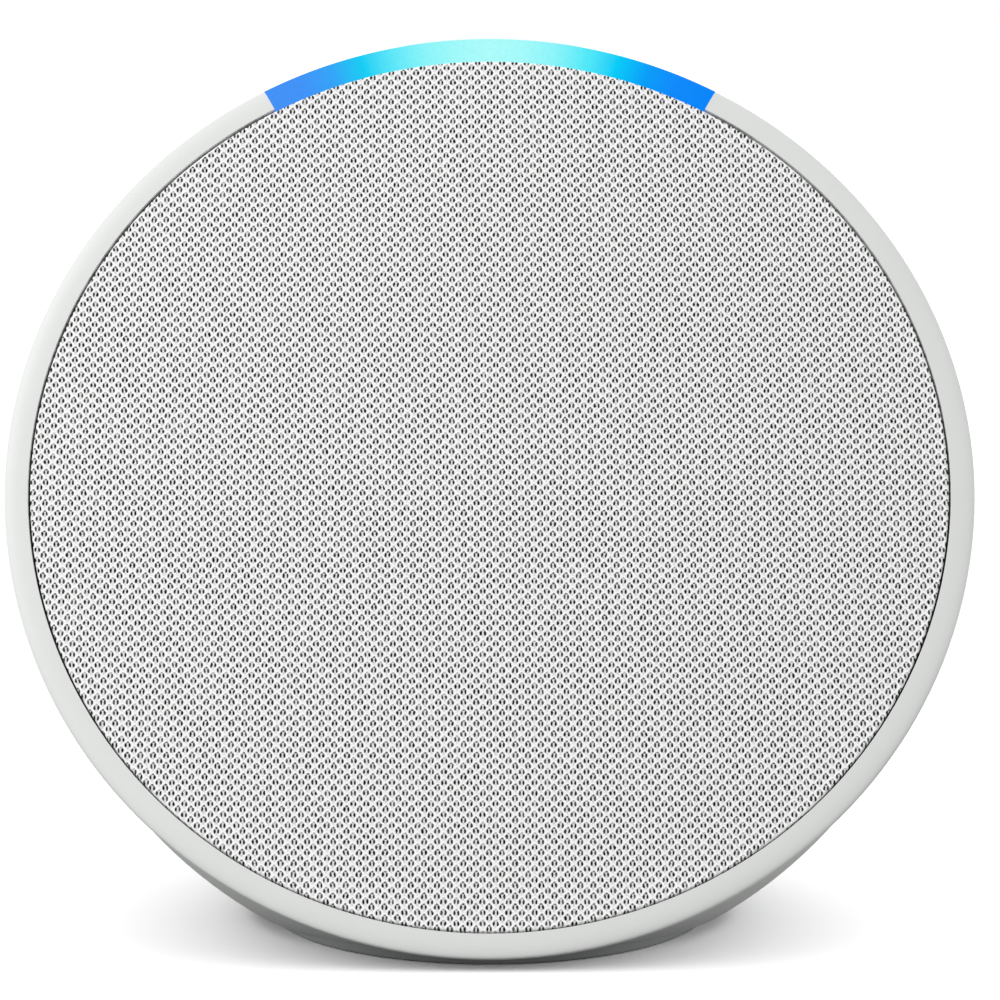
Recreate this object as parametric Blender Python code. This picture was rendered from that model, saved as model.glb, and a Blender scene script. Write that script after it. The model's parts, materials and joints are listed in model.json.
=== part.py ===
"""A compact smart speaker: a dome with a round, fabric-covered front that leans back.

Frame: metres, +Z up, the front faces -Y and leans back, +X is on the right of a person
who stands in front of it. The origin is on the table, under the middle of the object.

Most pieces are built in the face frame. Its origin is the middle of the front plane, its
+Z is the outward normal of the front, its +Y runs up along the front and its +X is the
world's +X. A depth is a negative height in that frame, so pieces stack from 0 inwards.
Azimuths are measured about the face normal, from straight up towards +X.
"""

from math import asin, atan2, cos, pi, radians, sin, sqrt, tau

import bmesh
import bpy
from mathutils import Matrix, Vector

MM = 0.001

# Overall size
WIDTH = 99.0 * MM
DEPTH = 83.0 * MM
HEIGHT = 91.0 * MM
TILT = radians(25.0)

# Housing: rim, dome, floor
RIM_RADIUS = WIDTH / 2
RIM_INNER = 47.03 * MM
EDGE_ROUND = 0.5 * MM
LIP_DEPTH = 1.0 * MM
LIP_STEP = 1.3 * MM
LIP_BLEND = 26.0 * MM
WALL = 2.2 * MM
RECESS_DEPTH = 4.2 * MM
LEDGE_RADIUS = 45.6 * MM
LEDGE_BACK = 5.7 * MM
BASE_Z = 1.0 * MM
FLOOR_TOP = 4.4 * MM
HOUSING_SEGMENTS = 40
DRIVER_SEGMENTS = 24
OVAL_SEGMENTS = 32

# Gap kept between pieces that touch on the real object
GAP = 0.3 * MM

# Light bar along the top of the rim
BAR_HALF_ANGLE = radians(28.6)
BAR_BACK = 5.0 * MM
BAR_LEG = (45.0 * MM, 46.6 * MM)
BAR_LEG_TOP = 4.5 * MM
BAR_LEG_END = 7.4 * MM
BAR_STEPS = 12
LED_BOARD_RADII = (43.2 * MM, 46.4 * MM)
LED_BOARD_HALF_ANGLE = radians(28.0)
LED_SIZE = (2.6 * MM, 1.5 * MM, 0.7 * MM)
LED_COUNT = 4
LED_SPACING = radians(14.0)

# Grille: cloth over a perforated plate
CLOTH_RADIUS = 46.75 * MM
CLOTH_THICKNESS = 0.5 * MM
CLOTH_FRONT = 0.3 * MM
CLOTH_SKIRT_END = 3.6 * MM
PLATE_THICKNESS = 1.5 * MM
PLATE_SKIRT_END = 3.9 * MM
PLATE_SKIRT_INNER = 42.8 * MM
PLATE_HOLE_RADIUS = 4.6 * MM
PLATE_HOLE_PITCH = 11.0 * MM
PLATE_HOLE_RINGS = 3

# Loudspeaker driver, a 49.5 mm frame with four ears
DRIVER_FRONT = 7.3 * MM
FLANGE_RADIUS = 24.75 * MM
FLANGE_THICKNESS = 1.4 * MM
EAR_RADIUS = 2.8 * MM
EAR_CIRCLE = 26.2 * MM
BASKET_BACK = 20.0 * MM
COIL_RADII = (6.0 * MM, 6.9 * MM)
POLE_RADIUS = 5.6 * MM
PLATE_BORE = 7.3 * MM
PLATE_RADIUS = 14.5 * MM
MAGNET_RADII = (8.5 * MM, 16.0 * MM)
PLATE_HEIGHT = 2.5 * MM
MAGNET_HEIGHT = 5.5 * MM
YOKE_HEIGHT = 3.0 * MM
GASKET_THICKNESS = 0.7 * MM

# Baffle and the closed chamber behind the driver
BAFFLE_FRONT = 10.0 * MM
BAFFLE_THICKNESS = 2.5 * MM
BAFFLE_RADIUS = 45.2 * MM
BAFFLE_HOLE = 22.3 * MM
BAFFLE_CHORD = 40.0 * MM
POST_CIRCLE = 41.0 * MM
POST_RADIUS = 3.0 * MM
POST_HOLE_END = 21.0 * MM
CHAMBER_RADIUS = 26.0 * MM
CHAMBER_WALL = 1.8 * MM
CHAMBER_BACK = 36.3 * MM
CHAMBER_FLANGE = (28.5 * MM, 1.5 * MM)
STANDOFF_HEIGHT = 3.4 * MM
STANDOFF_RADIUS = 2.0 * MM

# Main board
BOARD_SIZE = (44.0 * MM, 40.0 * MM, 1.6 * MM)
BOARD_CENTRE_UP = 1.0 * MM
BOARD_HOLES = (17.0 * MM, 15.5 * MM)
SHIELD_SIZE = (20.0 * MM, 16.0 * MM, 2.0 * MM)
SPREADER_SIZE = (34.0 * MM, 20.0 * MM, 1.2 * MM)

# Keys, on the dome behind the light bar
KEY_DEPTH = 19.0 * MM
KEY_AZIMUTHS = {
    "microphone_off": radians(-19.5),
    "volume_down": 0.0,
    "volume_up": radians(19.5),
}
KEY_RADIUS = 4.5 * MM
KEY_FLANGE_RADIUS = 5.3 * MM
KEY_FLANGE = (2.95 * MM, 3.7 * MM)
KEY_STEM_RADIUS = 1.0 * MM
KEY_STEM_END = 4.6 * MM
PLUNGER_RADIUS = 0.9 * MM
PLUNGER_SPAN = (4.9 * MM, 6.0 * MM)
SWITCH_SIDE = 5.0 * MM
SWITCH_SPAN = (5.5 * MM, 7.1 * MM)
SWITCH_BORE = (1.2 * MM, 6.6 * MM)
FLEX_SPAN = (7.4 * MM, 7.8 * MM)
BRACKET_SPAN = (8.1 * MM, 9.7 * MM)
BRACKET_HALF_WIDTH = 3.6 * MM
BRACKET_HALF_ANGLE = radians(30.0)
BRACKET_LEG_ANGLE = radians(28.2)
BRACKET_LEG_TOP = 2.7 * MM

# Microphones, between the keys
MICROPHONE_AZIMUTHS = {"left": radians(-9.75), "right": radians(9.75)}
MICROPHONE_HOLE = 0.6 * MM
MICROPHONE_GASKET_RADIUS = 1.35 * MM
MICROPHONE_GASKET_SPAN = (2.75 * MM, 5.9 * MM)
MICROPHONE_SIZE = (3.4 * MM, 2.6 * MM, 0.9 * MM)

# Power inlet, low on the back
INLET_Z = 18.0 * MM
INLET_BOSS_RADIUS = 8.2 * MM
INLET_BOSS_START = 28.0 * MM
INLET_RECESS_RADIUS = 5.8 * MM
INLET_SEAT_Y = 31.5 * MM
JACK_NOSE_RADIUS = 4.0 * MM
JACK_BORE = 2.9 * MM
JACK_BORE_DEPTH = 9.0 * MM
JACK_BODY = (9.2 * MM, 11.2 * MM, 10.4 * MM)
JACK_PIN_RADIUS = 1.0 * MM
JACK_PIN_RECESS = 1.0 * MM

# Base plate and foot, ovals about one centre: (half width in X, half length in Y)
BASE_CENTRE_Y = -9.8 * MM
FOOT_OUTER = (23.0 * MM, 28.5 * MM)
FOOT_INNER = (17.0 * MM, 22.5 * MM)
FOOT_TOP = 1.3 * MM
BASE_PLATE = (16.4 * MM, 21.9 * MM)
BASE_PLATE_TOP = 2.6 * MM
BASE_OPENING = (12.4 * MM, 17.6 * MM)
BASE_SCREW_OVAL = (14.5 * MM, 19.8 * MM)
BASE_COUNTERBORE = (2.1 * MM, 2.0 * MM)

# Screws: shank radius and the hole it passes through
SHANK_RADIUS = 0.85 * MM
SCREW_HOLE = SHANK_RADIUS + GAP

# Leads
LEAD_RADIUS = 0.6 * MM
LED_LEAD_HOLE = 1.7 * MM
SPEAKER_LEAD_CROSSING = Vector((0.0, -20.8 * MM, 0.0))

# The face frame's place, from the overall size
CORNER_LOSS = EDGE_ROUND * (sin(TILT) + cos(TILT) - 1)
FACE_Y = -DEPTH / 2 + RIM_RADIUS * sin(TILT) - CORNER_LOSS
FACE_Z = HEIGHT - RIM_RADIUS * cos(TILT) + CORNER_LOSS

# The dome is half an ellipsoid of revolution whose back just reaches the overall depth
BACK_REACH = DEPTH / 2 - FACE_Y - EDGE_ROUND * cos(TILT)
DOME_LENGTH = sqrt(BACK_REACH**2 - (RIM_RADIUS * sin(TILT)) ** 2) / cos(TILT)
BACKMOST = atan2(DOME_LENGTH * cos(TILT), RIM_RADIUS * sin(TILT))

# Colour, roughness, metallic
MATERIALS = {
    "shell_plastic": ((0.80, 0.81, 0.80), 0.45, 0.0),
    "light_bar": ((0.10, 0.55, 1.00), 0.30, 0.0),
    "cloth": ((0.62, 0.62, 0.61), 0.90, 0.0),
    "grille_plastic": ((0.30, 0.30, 0.30), 0.60, 0.0),
    "dark_plastic": ((0.06, 0.06, 0.065), 0.55, 0.0),
    "key_plastic": ((0.78, 0.79, 0.78), 0.40, 0.0),
    "rubber": ((0.42, 0.42, 0.42), 0.85, 0.0),
    "black_rubber": ((0.03, 0.03, 0.03), 0.75, 0.0),
    "paper": ((0.05, 0.05, 0.05), 0.80, 0.0),
    "spider_cloth": ((0.55, 0.38, 0.16), 0.90, 0.0),
    "coil_copper": ((0.72, 0.36, 0.16), 0.35, 1.0),
    "ferrite": ((0.07, 0.07, 0.075), 0.60, 0.3),
    "plated_steel": ((0.62, 0.62, 0.60), 0.30, 1.0),
    "aluminium": ((0.75, 0.75, 0.76), 0.40, 1.0),
    "circuit_board": ((0.02, 0.16, 0.07), 0.45, 0.0),
    "flex_board": ((0.60, 0.30, 0.06), 0.40, 0.0),
    "led_package": ((0.90, 0.90, 0.86), 0.35, 0.0),
    "cable_jacket": ((0.04, 0.04, 0.04), 0.50, 0.0),
}


# Scene and materials


def clear_scene():
    for item in list(bpy.data.objects):
        bpy.data.objects.remove(item)


def make_material(name, colour, roughness, metallic):
    material = bpy.data.materials.new(name)
    material.use_nodes = True
    shader = material.node_tree.nodes["Principled BSDF"]
    shader.inputs["Base Color"].default_value = (*colour, 1.0)
    shader.inputs["Roughness"].default_value = roughness
    shader.inputs["Metallic"].default_value = metallic
    return material


def make_frame(name, matrix):
    frame = bpy.data.objects.new(name, None)
    frame.empty_display_size = 5.0 * MM
    frame.matrix_world = matrix
    bpy.context.collection.objects.link(frame)
    return frame


# Solids


def add_object(name, bm, parent=None, material=None, matrix=None):
    """Turn a bmesh into an object of the given frame, smooth except at its sharp edges."""
    bmesh.ops.recalc_face_normals(bm, faces=bm.faces)
    mesh = bpy.data.meshes.new(name)
    bm.to_mesh(mesh)
    bm.free()
    mesh.shade_smooth()
    mesh.set_sharp_from_angle(angle=radians(35.0))
    if material:
        mesh.materials.append(bpy.data.materials[material])
    item = bpy.data.objects.new(name, mesh)
    item.parent = parent
    if matrix is not None:
        item.matrix_local = matrix
    bpy.context.collection.objects.link(item)
    return item


def at_azimuth(radius, azimuth, height):
    return Vector((radius * sin(azimuth), radius * cos(azimuth), height))


def skin(sections, closed):
    """Join matching closed outlines into one solid; an open row of them gets end caps."""
    bm = bmesh.new()
    rings = [[bm.verts.new(point) for point in section] for section in sections]
    pairs = list(zip(rings, rings[1:]))
    if closed:
        pairs.append((rings[-1], rings[0]))
    for near, far in pairs:
        for i in range(len(near)):
            j = (i + 1) % len(near)
            bm.faces.new((near[i], near[j], far[j], far[i]))
    if not closed:
        bm.faces.new(rings[0][::-1])
        bm.faces.new(rings[-1])
    return bm


def turned(profile, segments):
    """Turn a (radius, height) outline about +Z. It is closed, or starts and ends on the axis."""
    bm = skin(
        [[at_azimuth(r, tau * k / segments, h) for r, h in profile] for k in range(segments)],
        closed=True,
    )
    bmesh.ops.remove_doubles(bm, verts=bm.verts, dist=0.001 * MM)
    loose = [edge for edge in bm.edges if not edge.link_faces]
    bmesh.ops.delete(bm, geom=loose, context="EDGES")
    return bm


def swept(profile, start, end, steps):
    """Sweep a closed (radius, height) outline about +Z between two azimuths."""
    angles = [start + (end - start) * k / steps for k in range(steps + 1)]
    return skin([[at_azimuth(r, a, h) for r, h in profile] for a in angles], closed=False)


def tube(inner, outer, low, high, segments):
    return turned([(inner, high), (outer, high), (outer, low), (inner, low)], segments)


def rod(radius, low, high, segments):
    return turned([(0.0, high), (radius, high), (radius, low), (0.0, low)], segments)


def block(size, centre):
    bm = bmesh.new()
    bmesh.ops.create_cube(bm, size=1.0)
    bmesh.ops.scale(bm, vec=Vector(size), verts=bm.verts)
    bmesh.ops.translate(bm, vec=Vector(centre), verts=bm.verts)
    return bm


def oval(half_axes, low, high, segments=OVAL_SEGMENTS):
    """An upright oval prism about the base centre, in the world frame."""
    bm = rod(1.0, low, high, segments)
    bmesh.ops.scale(bm, vec=Vector((half_axes[0], half_axes[1], 1.0)), verts=bm.verts)
    bmesh.ops.translate(bm, vec=Vector((0.0, BASE_CENTRE_Y, 0.0)), verts=bm.verts)
    return bm


def oval_ring(inner, outer, low, high, segments=OVAL_SEGMENTS):
    sections = []
    for k in range(segments):
        angle = tau * k / segments
        corners = ((inner, high), (outer, high), (outer, low), (inner, low))
        sections.append(
            [Vector((a[0] * sin(angle), BASE_CENTRE_Y + a[1] * cos(angle), z)) for a, z in corners]
        )
    return skin(sections, closed=True)


def combine(target, tool, operation):
    """Apply an exact boolean to the target's mesh and use the tool up."""
    modifier = target.modifiers.new(operation.title(), "BOOLEAN")
    modifier.operation = operation
    modifier.solver = "EXACT"
    modifier.object = tool
    bpy.context.view_layer.update()
    depsgraph = bpy.context.evaluated_depsgraph_get()
    result = bpy.data.meshes.new_from_object(target.evaluated_get(depsgraph))
    target.modifiers.clear()
    target.data = result
    target.data.name = target.name
    bpy.data.objects.remove(tool)


def cut(target, bm, parent=None, matrix=None):
    combine(target, add_object("cutter", bm, parent, matrix=matrix), "DIFFERENCE")


def join(target, bm, parent=None, matrix=None):
    combine(target, add_object("addition", bm, parent, matrix=matrix), "UNION")


# Places


def face_matrix():
    return Matrix.Translation((0.0, FACE_Y, FACE_Z)) @ Matrix.Rotation(pi / 2 - TILT, 4, "X")


def world_y_matrix():
    """A frame on the inlet's axis: its +Z is the world's +Y and its height is the world's y."""
    return Matrix.Translation((0.0, 0.0, INLET_Z)) @ Matrix.Rotation(-pi / 2, 4, "X")


def dome_point(angle, inset=0.0):
    """(radius, height) on the dome at an angle from the rim (0) to the pole (90 degrees)."""
    return (
        (RIM_RADIUS - inset) * cos(angle),
        -EDGE_ROUND - (DOME_LENGTH - inset) * sin(angle),
    )


def behind_lip(point):
    """A point of the dome's outer surface, drawn in behind the rim, which overhangs it."""
    radius, height = point
    t = (-height - LIP_DEPTH) / (LIP_BLEND - LIP_DEPTH)
    t = max(0.0, min(1.0, t))
    return (radius - LIP_STEP * (1 - t * t * (3 - 2 * t)), height)


def lip_side():
    """The rim's outer side and the step behind it, where the dome begins."""
    outer = dome_point(dome_angle(LIP_DEPTH))
    return [outer, behind_lip(outer)]


def dome_angle(depth, inset=0.0):
    return asin((depth - EDGE_ROUND) / (DOME_LENGTH - inset))


def dome_normal_matrix(azimuth):
    """A frame on the dome's surface at the key row, with +Z along the outward normal."""
    angle = dome_angle(KEY_DEPTH)
    radius, height = dome_point(angle)
    outward = Vector((cos(angle) / RIM_RADIUS, -sin(angle) / DOME_LENGTH)).normalized()
    normal = at_azimuth(outward.x, azimuth, outward.y)
    side = Vector((cos(azimuth), -sin(azimuth), 0.0))
    columns = Matrix((side, normal.cross(side), normal)).transposed().to_4x4()
    return Matrix.Translation(at_azimuth(radius, azimuth, height)) @ columns


def quarter_azimuths():
    return [radians(45.0 + 90.0 * k) for k in range(4)]


# Housing


def rim_corner():
    """The rounded outer corner of the rim, from the front plane to the start of the dome."""
    centre = RIM_RADIUS - EDGE_ROUND
    angles = (pi / 2, pi / 2 - TILT, TILT, 0.0)
    return [(centre + EDGE_ROUND * cos(a), -EDGE_ROUND + EDGE_ROUND * sin(a)) for a in angles]


def dome_profile():
    rings = 8
    side = [behind_lip(dome_point(BACKMOST * k / rings)) for k in range(1, rings + 1)]
    crown = [dome_point(BACKMOST + (pi / 2 - BACKMOST) * k / 2) for k in (1, 2)]
    crown[-1] = (0.0, crown[-1][1])
    return [(0.0, 0.0)] + rim_corner() + lip_side() + side + crown


def cavity_profile():
    first = dome_angle(LEDGE_BACK, WALL)
    rings = 8
    wall = [dome_point(first + (pi / 2 - first) * k / rings, WALL) for k in range(rings + 1)]
    wall[-1] = (0.0, wall[-1][1])
    top = -RECESS_DEPTH + 0.2 * MM
    return [(0.0, top), (LEDGE_RADIUS, top), (LEDGE_RADIUS, -LEDGE_BACK)] + wall


def make_cavity(face):
    """The hollow of the housing, less what stands in it: floor, screw posts, inlet boss."""
    cavity = add_object("cavity", turned(cavity_profile(), HOUSING_SEGMENTS), face)
    deep = 20.0 * MM
    cut(cavity, block((2 * WIDTH, 2 * DEPTH, deep), (0.0, 0.0, FLOOR_TOP - deep / 2)))
    post_top = -BAFFLE_FRONT - BAFFLE_THICKNESS - GAP
    for azimuth in quarter_azimuths():
        post = rod(POST_RADIUS, -DEPTH, post_top, 12)
        cut(cavity, post, face, Matrix.Translation(at_azimuth(POST_CIRCLE, azimuth, 0.0)))
    boss = rod(INLET_BOSS_RADIUS, INLET_BOSS_START, DEPTH, 24)
    cut(cavity, boss, matrix=world_y_matrix())
    return cavity


def cut_base(housing):
    """The pocket of the foot, the seat of the base plate and the opening above it."""
    below = -10.0 * MM
    wide = [half + GAP for half in FOOT_OUTER]
    cut(housing, oval(wide, below, FOOT_TOP + GAP))
    seat = [half + GAP for half in BASE_PLATE]
    cut(housing, oval(seat, below, BASE_PLATE_TOP + GAP))
    cut(housing, oval(BASE_OPENING, below, FLOOR_TOP + GAP))
    for x, y in base_screw_places():
        cut(housing, rod(SCREW_HOLE, below, FLOOR_TOP + GAP, 10), matrix=Matrix.Translation((x, y, 0.0)))


def cut_inlet(housing):
    recess = rod(INLET_RECESS_RADIUS, INLET_SEAT_Y, DEPTH, 24)
    cut(housing, recess, matrix=world_y_matrix())
    nose = rod(JACK_NOSE_RADIUS + GAP, INLET_BOSS_START - GAP, INLET_SEAT_Y + GAP, 20)
    cut(housing, nose, matrix=world_y_matrix())


def light_bar_notch():
    """The gap that the light bar fills in the rim, and its leg's way through the ledge."""
    inside, outside, front = BAR_LEG[0] - 0.5 * MM, RIM_RADIUS + 2.0 * MM, 1.0 * MM
    profile = [
        (inside, front),
        (outside, front),
        (outside, -BAR_BACK - GAP),
        (BAR_LEG[1] + GAP, -BAR_BACK - GAP),
        (BAR_LEG[1] + GAP, -LEDGE_BACK - GAP),
        (inside, -LEDGE_BACK - GAP),
    ]
    half = BAR_HALF_ANGLE + GAP / RIM_RADIUS
    return swept(profile, -half, half, BAR_STEPS)


def make_housing(face):
    housing = add_object("housing", turned(dome_profile(), HOUSING_SEGMENTS), face, "shell_plastic")
    deep = 30.0 * MM
    cut(housing, block((2 * WIDTH, 2 * DEPTH, deep), (0.0, 0.0, BASE_Z - deep / 2)))
    cut(housing, rod(RIM_INNER, -RECESS_DEPTH, MM, HOUSING_SEGMENTS), face)
    combine(housing, make_cavity(face), "DIFFERENCE")

    cut(housing, light_bar_notch(), face)
    for azimuth in quarter_azimuths():
        hole = rod(SCREW_HOLE, -POST_HOLE_END, -BAFFLE_FRONT, 10)
        cut(housing, hole, face, Matrix.Translation(at_azimuth(POST_CIRCLE, azimuth, 0.0)))
    for azimuth in KEY_AZIMUTHS.values():
        hole = rod(KEY_RADIUS + GAP, -5.0 * MM, 5.0 * MM, 20)
        cut(housing, hole, face, dome_normal_matrix(azimuth))
    for azimuth in MICROPHONE_AZIMUTHS.values():
        hole = rod(MICROPHONE_HOLE, -5.0 * MM, 5.0 * MM, 8)
        cut(housing, hole, face, dome_normal_matrix(azimuth))
    cut_inlet(housing)
    cut_base(housing)


# Light bar


def make_light_bar(face):
    """A lens that fills the top of the rim, wraps over its edge and has a leg to the LEDs."""
    over = lip_side() + [behind_lip(dome_point(dome_angle(BAR_BACK)))]
    profile = [(RIM_INNER, 0.0)] + rim_corner() + over
    profile += [
        (BAR_LEG[1], -BAR_BACK),
        (BAR_LEG[1], -BAR_LEG_END),
        (BAR_LEG[0], -BAR_LEG_END),
        (BAR_LEG[0], -BAR_LEG_TOP),
        (RIM_INNER, -BAR_LEG_TOP),
    ]
    bar = swept(profile, -BAR_HALF_ANGLE, BAR_HALF_ANGLE, BAR_STEPS)
    add_object("light_bar", bar, face, "light_bar")


def make_led_board(face):
    front = BAR_LEG_END + 2 * GAP + LED_SIZE[2]
    inner, outer = LED_BOARD_RADII
    back = BAFFLE_FRONT - GAP
    profile = [(inner, -front), (outer, -front), (outer, -back), (inner, -back)]
    board = swept(profile, -LED_BOARD_HALF_ANGLE, LED_BOARD_HALF_ANGLE, BAR_STEPS)
    add_object("led_board", board, face, "circuit_board")
    middle = (BAR_LEG[0] + BAR_LEG[1]) / 2
    for k in range(LED_COUNT):
        azimuth = (k - (LED_COUNT - 1) / 2) * LED_SPACING
        place = Matrix.Rotation(-azimuth, 4, "Z")
        centre = (0.0, middle, -BAR_LEG_END - GAP - LED_SIZE[2] / 2)
        add_object(f"led_{k + 1}", block(LED_SIZE, centre), face, "led_package", place)


# Grille


def make_grille_cloth(face):
    """Cloth pulled over the plate's front and down its edge."""
    inside = CLOTH_RADIUS - CLOTH_THICKNESS
    back = CLOTH_FRONT + CLOTH_THICKNESS
    soft = 0.3 * MM
    profile = [
        (0.0, -CLOTH_FRONT),
        (CLOTH_RADIUS - soft, -CLOTH_FRONT),
        (CLOTH_RADIUS, -CLOTH_FRONT - soft),
        (CLOTH_RADIUS, -CLOTH_SKIRT_END),
        (inside, -CLOTH_SKIRT_END),
        (inside, -back),
        (0.0, -back),
    ]
    add_object("grille_cloth", turned(profile, HOUSING_SEGMENTS), face, "cloth")


def make_grille_plate(face):
    """A disc with a short skirt and a hexagonal field of six-sided holes."""
    front = CLOTH_FRONT + CLOTH_THICKNESS + GAP
    back = front + PLATE_THICKNESS
    edge = CLOTH_RADIUS - CLOTH_THICKNESS - GAP
    skirt = PLATE_SKIRT_INNER + 2.0 * MM
    profile = [
        (0.0, -front),
        (edge, -front),
        (edge, -back),
        (skirt, -back),
        (skirt, -PLATE_SKIRT_END),
        (PLATE_SKIRT_INNER, -PLATE_SKIRT_END),
        (PLATE_SKIRT_INNER, -back),
        (0.0, -back),
    ]
    plate = add_object("grille_plate", turned(profile, HOUSING_SEGMENTS), face, "grille_plastic")
    cutters = bmesh.new()
    for x, y in hexagonal_field(PLATE_HOLE_PITCH, PLATE_HOLE_RINGS):
        bmesh.ops.create_cone(
            cutters,
            cap_ends=True,
            segments=6,
            radius1=PLATE_HOLE_RADIUS,
            radius2=PLATE_HOLE_RADIUS,
            depth=2 * PLATE_THICKNESS,
            matrix=Matrix.Translation((x, y, -(front + back) / 2)),
        )
    cut(plate, cutters, face)


def hexagonal_field(pitch, rings):
    """Centres of a hexagonal array with the given number of rings about a middle one."""
    places = []
    for row in range(-rings, rings + 1):
        count = 2 * rings + 1 - abs(row)
        for k in range(count):
            places.append(((k - (count - 1) / 2) * pitch, row * pitch * sqrt(3) / 2))
    return places


# Baffle, chamber


def make_baffle(face):
    back = BAFFLE_FRONT + BAFFLE_THICKNESS
    ring = tube(BAFFLE_HOLE, BAFFLE_RADIUS, -back, -BAFFLE_FRONT, HOUSING_SEGMENTS)
    baffle = add_object("front_baffle", ring, face, "dark_plastic")
    spare = 20.0 * MM
    chord = block((WIDTH, spare, spare), (0.0, -BAFFLE_CHORD - spare / 2, -BAFFLE_FRONT))
    cut(baffle, chord, face)
    for circle in (POST_CIRCLE, EAR_CIRCLE):
        for azimuth in quarter_azimuths():
            hole = rod(SCREW_HOLE, -back - GAP, -BAFFLE_FRONT + GAP, 10)
            cut(baffle, hole, face, Matrix.Translation(at_azimuth(circle, azimuth, 0.0)))
    lead = rod(LED_LEAD_HOLE, -back - GAP, -BAFFLE_FRONT + GAP, 12)
    cut(baffle, lead, face, Matrix.Translation(led_lead_crossing()))


def make_chamber(face):
    front = BAFFLE_FRONT + BAFFLE_THICKNESS + GAP
    flange, flange_height = CHAMBER_FLANGE
    inside = CHAMBER_RADIUS - CHAMBER_WALL
    profile = [
        (0.0, -CHAMBER_BACK),
        (CHAMBER_RADIUS, -CHAMBER_BACK),
        (CHAMBER_RADIUS, -front - flange_height),
        (flange, -front - flange_height),
        (flange, -front),
        (inside, -front),
        (inside, -CHAMBER_BACK + CHAMBER_WALL),
        (0.0, -CHAMBER_BACK + CHAMBER_WALL),
    ]
    chamber = add_object("acoustic_chamber", turned(profile, DRIVER_SEGMENTS), face, "dark_plastic")
    end = CHAMBER_BACK + STANDOFF_HEIGHT
    for x, y in board_holes():
        post = rod(STANDOFF_RADIUS, -end, -CHAMBER_BACK + CHAMBER_WALL / 2, 12)
        join(chamber, post, face, Matrix.Translation((x, y, 0.0)))
        hole = rod(SCREW_HOLE, -end - GAP, -CHAMBER_BACK, 8)
        cut(chamber, hole, face, Matrix.Translation((x, y, 0.0)))
    lead = rod(LEAD_RADIUS + GAP, -CHAMBER_BACK - GAP, -CHAMBER_BACK + CHAMBER_WALL + GAP, 8)
    cut(chamber, lead, face, Matrix.Translation(SPEAKER_LEAD_CROSSING))


# Loudspeaker driver


def make_basket(face):
    """A stepped, cone-shaped frame with four windows and four ears."""
    front = -DRIVER_FRONT
    profile = [
        (22.9 * MM, front),
        (FLANGE_RADIUS, front),
        (FLANGE_RADIUS, front - FLANGE_THICKNESS),
        (21.9 * MM, front - FLANGE_THICKNESS),
        (16.8 * MM, -16.2 * MM),
        (16.8 * MM, -18.2 * MM),
        (14.8 * MM, -BASKET_BACK),
        (8.4 * MM, -BASKET_BACK),
        (8.4 * MM, -18.8 * MM),
        (13.0 * MM, -18.8 * MM),
        (13.0 * MM, -16.9 * MM),
        (15.4 * MM, -16.9 * MM),
        (15.4 * MM, -16.2 * MM),
        (20.7 * MM, -8.3 * MM),
        (22.9 * MM, -8.3 * MM),
    ]
    basket = add_object("driver_basket", turned(profile, DRIVER_SEGMENTS), face, "plated_steel")
    for azimuth in quarter_azimuths():
        place = Matrix.Translation(at_azimuth(EAR_CIRCLE, azimuth, 0.0))
        ear = rod(EAR_RADIUS, front - FLANGE_THICKNESS, front, 16)
        join(basket, ear, face, place)
        hole = rod(SCREW_HOLE, front - 2 * FLANGE_THICKNESS, front + GAP, 10)
        cut(basket, hole, face, place)
    seat = rod(22.9 * MM, -8.3 * MM, front + GAP, DRIVER_SEGMENTS)
    cut(basket, seat, face)
    for k in range(4):
        window = block((13.0 * MM, 14.0 * MM, 4.4 * MM), (0.0, 20.0 * MM, -12.7 * MM))
        cut(basket, window, face, Matrix.Rotation(k * pi / 2, 4, "Z"))


def make_driver_gasket(face):
    front = DRIVER_FRONT + FLANGE_THICKNESS + GAP
    ring = tube(BAFFLE_HOLE, FLANGE_RADIUS, -front - GASKET_THICKNESS, -front, DRIVER_SEGMENTS)
    add_object("driver_gasket", ring, face, "black_rubber")


def strip_profile(points, thickness):
    """A closed outline of a thin ring section: the points, then the same points lower down."""
    lower = [(radius, height - thickness) for radius, height in reversed(points)]
    return points + lower


def make_surround(face):
    """A half roll between the basket's seat and the cone's edge, with a lip on each side."""
    inner, outer, lip = 18.9 * MM, 21.7 * MM, 1.0 * MM
    base = -7.55 * MM
    middle, radius = (inner + outer) / 2, (outer - inner) / 2
    roll = [(middle - radius * cos(a), base + radius * sin(a)) for a in [pi * k / 4 for k in range(5)]]
    points = [(inner - lip, base)] + roll + [(outer + lip, base)]
    bm = turned(strip_profile(points, 0.4 * MM), DRIVER_SEGMENTS)
    add_object("driver_surround", bm, face, "black_rubber")


def make_cone(face):
    profile = [
        (18.9 * MM, -8.25 * MM),
        (18.9 * MM, -8.75 * MM),
        (18.3 * MM, -8.75 * MM),
        (7.2 * MM, -15.1 * MM),
        (7.2 * MM, -14.5 * MM),
        (18.2 * MM, -8.25 * MM),
    ]
    add_object("driver_cone", turned(profile, DRIVER_SEGMENTS), face, "paper")


def make_dust_cap(face):
    radius, rise, low, thickness = 7.8 * MM, 1.9 * MM, -13.5 * MM, 0.4 * MM
    outer = [(radius * cos(a), low + rise * sin(a)) for a in [pi / 2 * k / 3 for k in range(4)]]
    inside = radius - thickness
    inner = [
        (inside * cos(a), low + (rise - thickness) * sin(a))
        for a in [pi / 2 * k / 3 for k in range(3, -1, -1)]
    ]
    outer[-1] = (0.0, outer[-1][1])
    inner[0] = (0.0, inner[0][1])
    profile = outer[::-1] + inner[::-1]
    add_object("driver_dust_cap", turned(profile, 20), face, "paper")


def make_voice_coil(face):
    inner, outer = COIL_RADII
    add_object("driver_voice_coil", tube(inner, outer, -23.4 * MM, -14.0 * MM, 24), face, "coil_copper")


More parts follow.
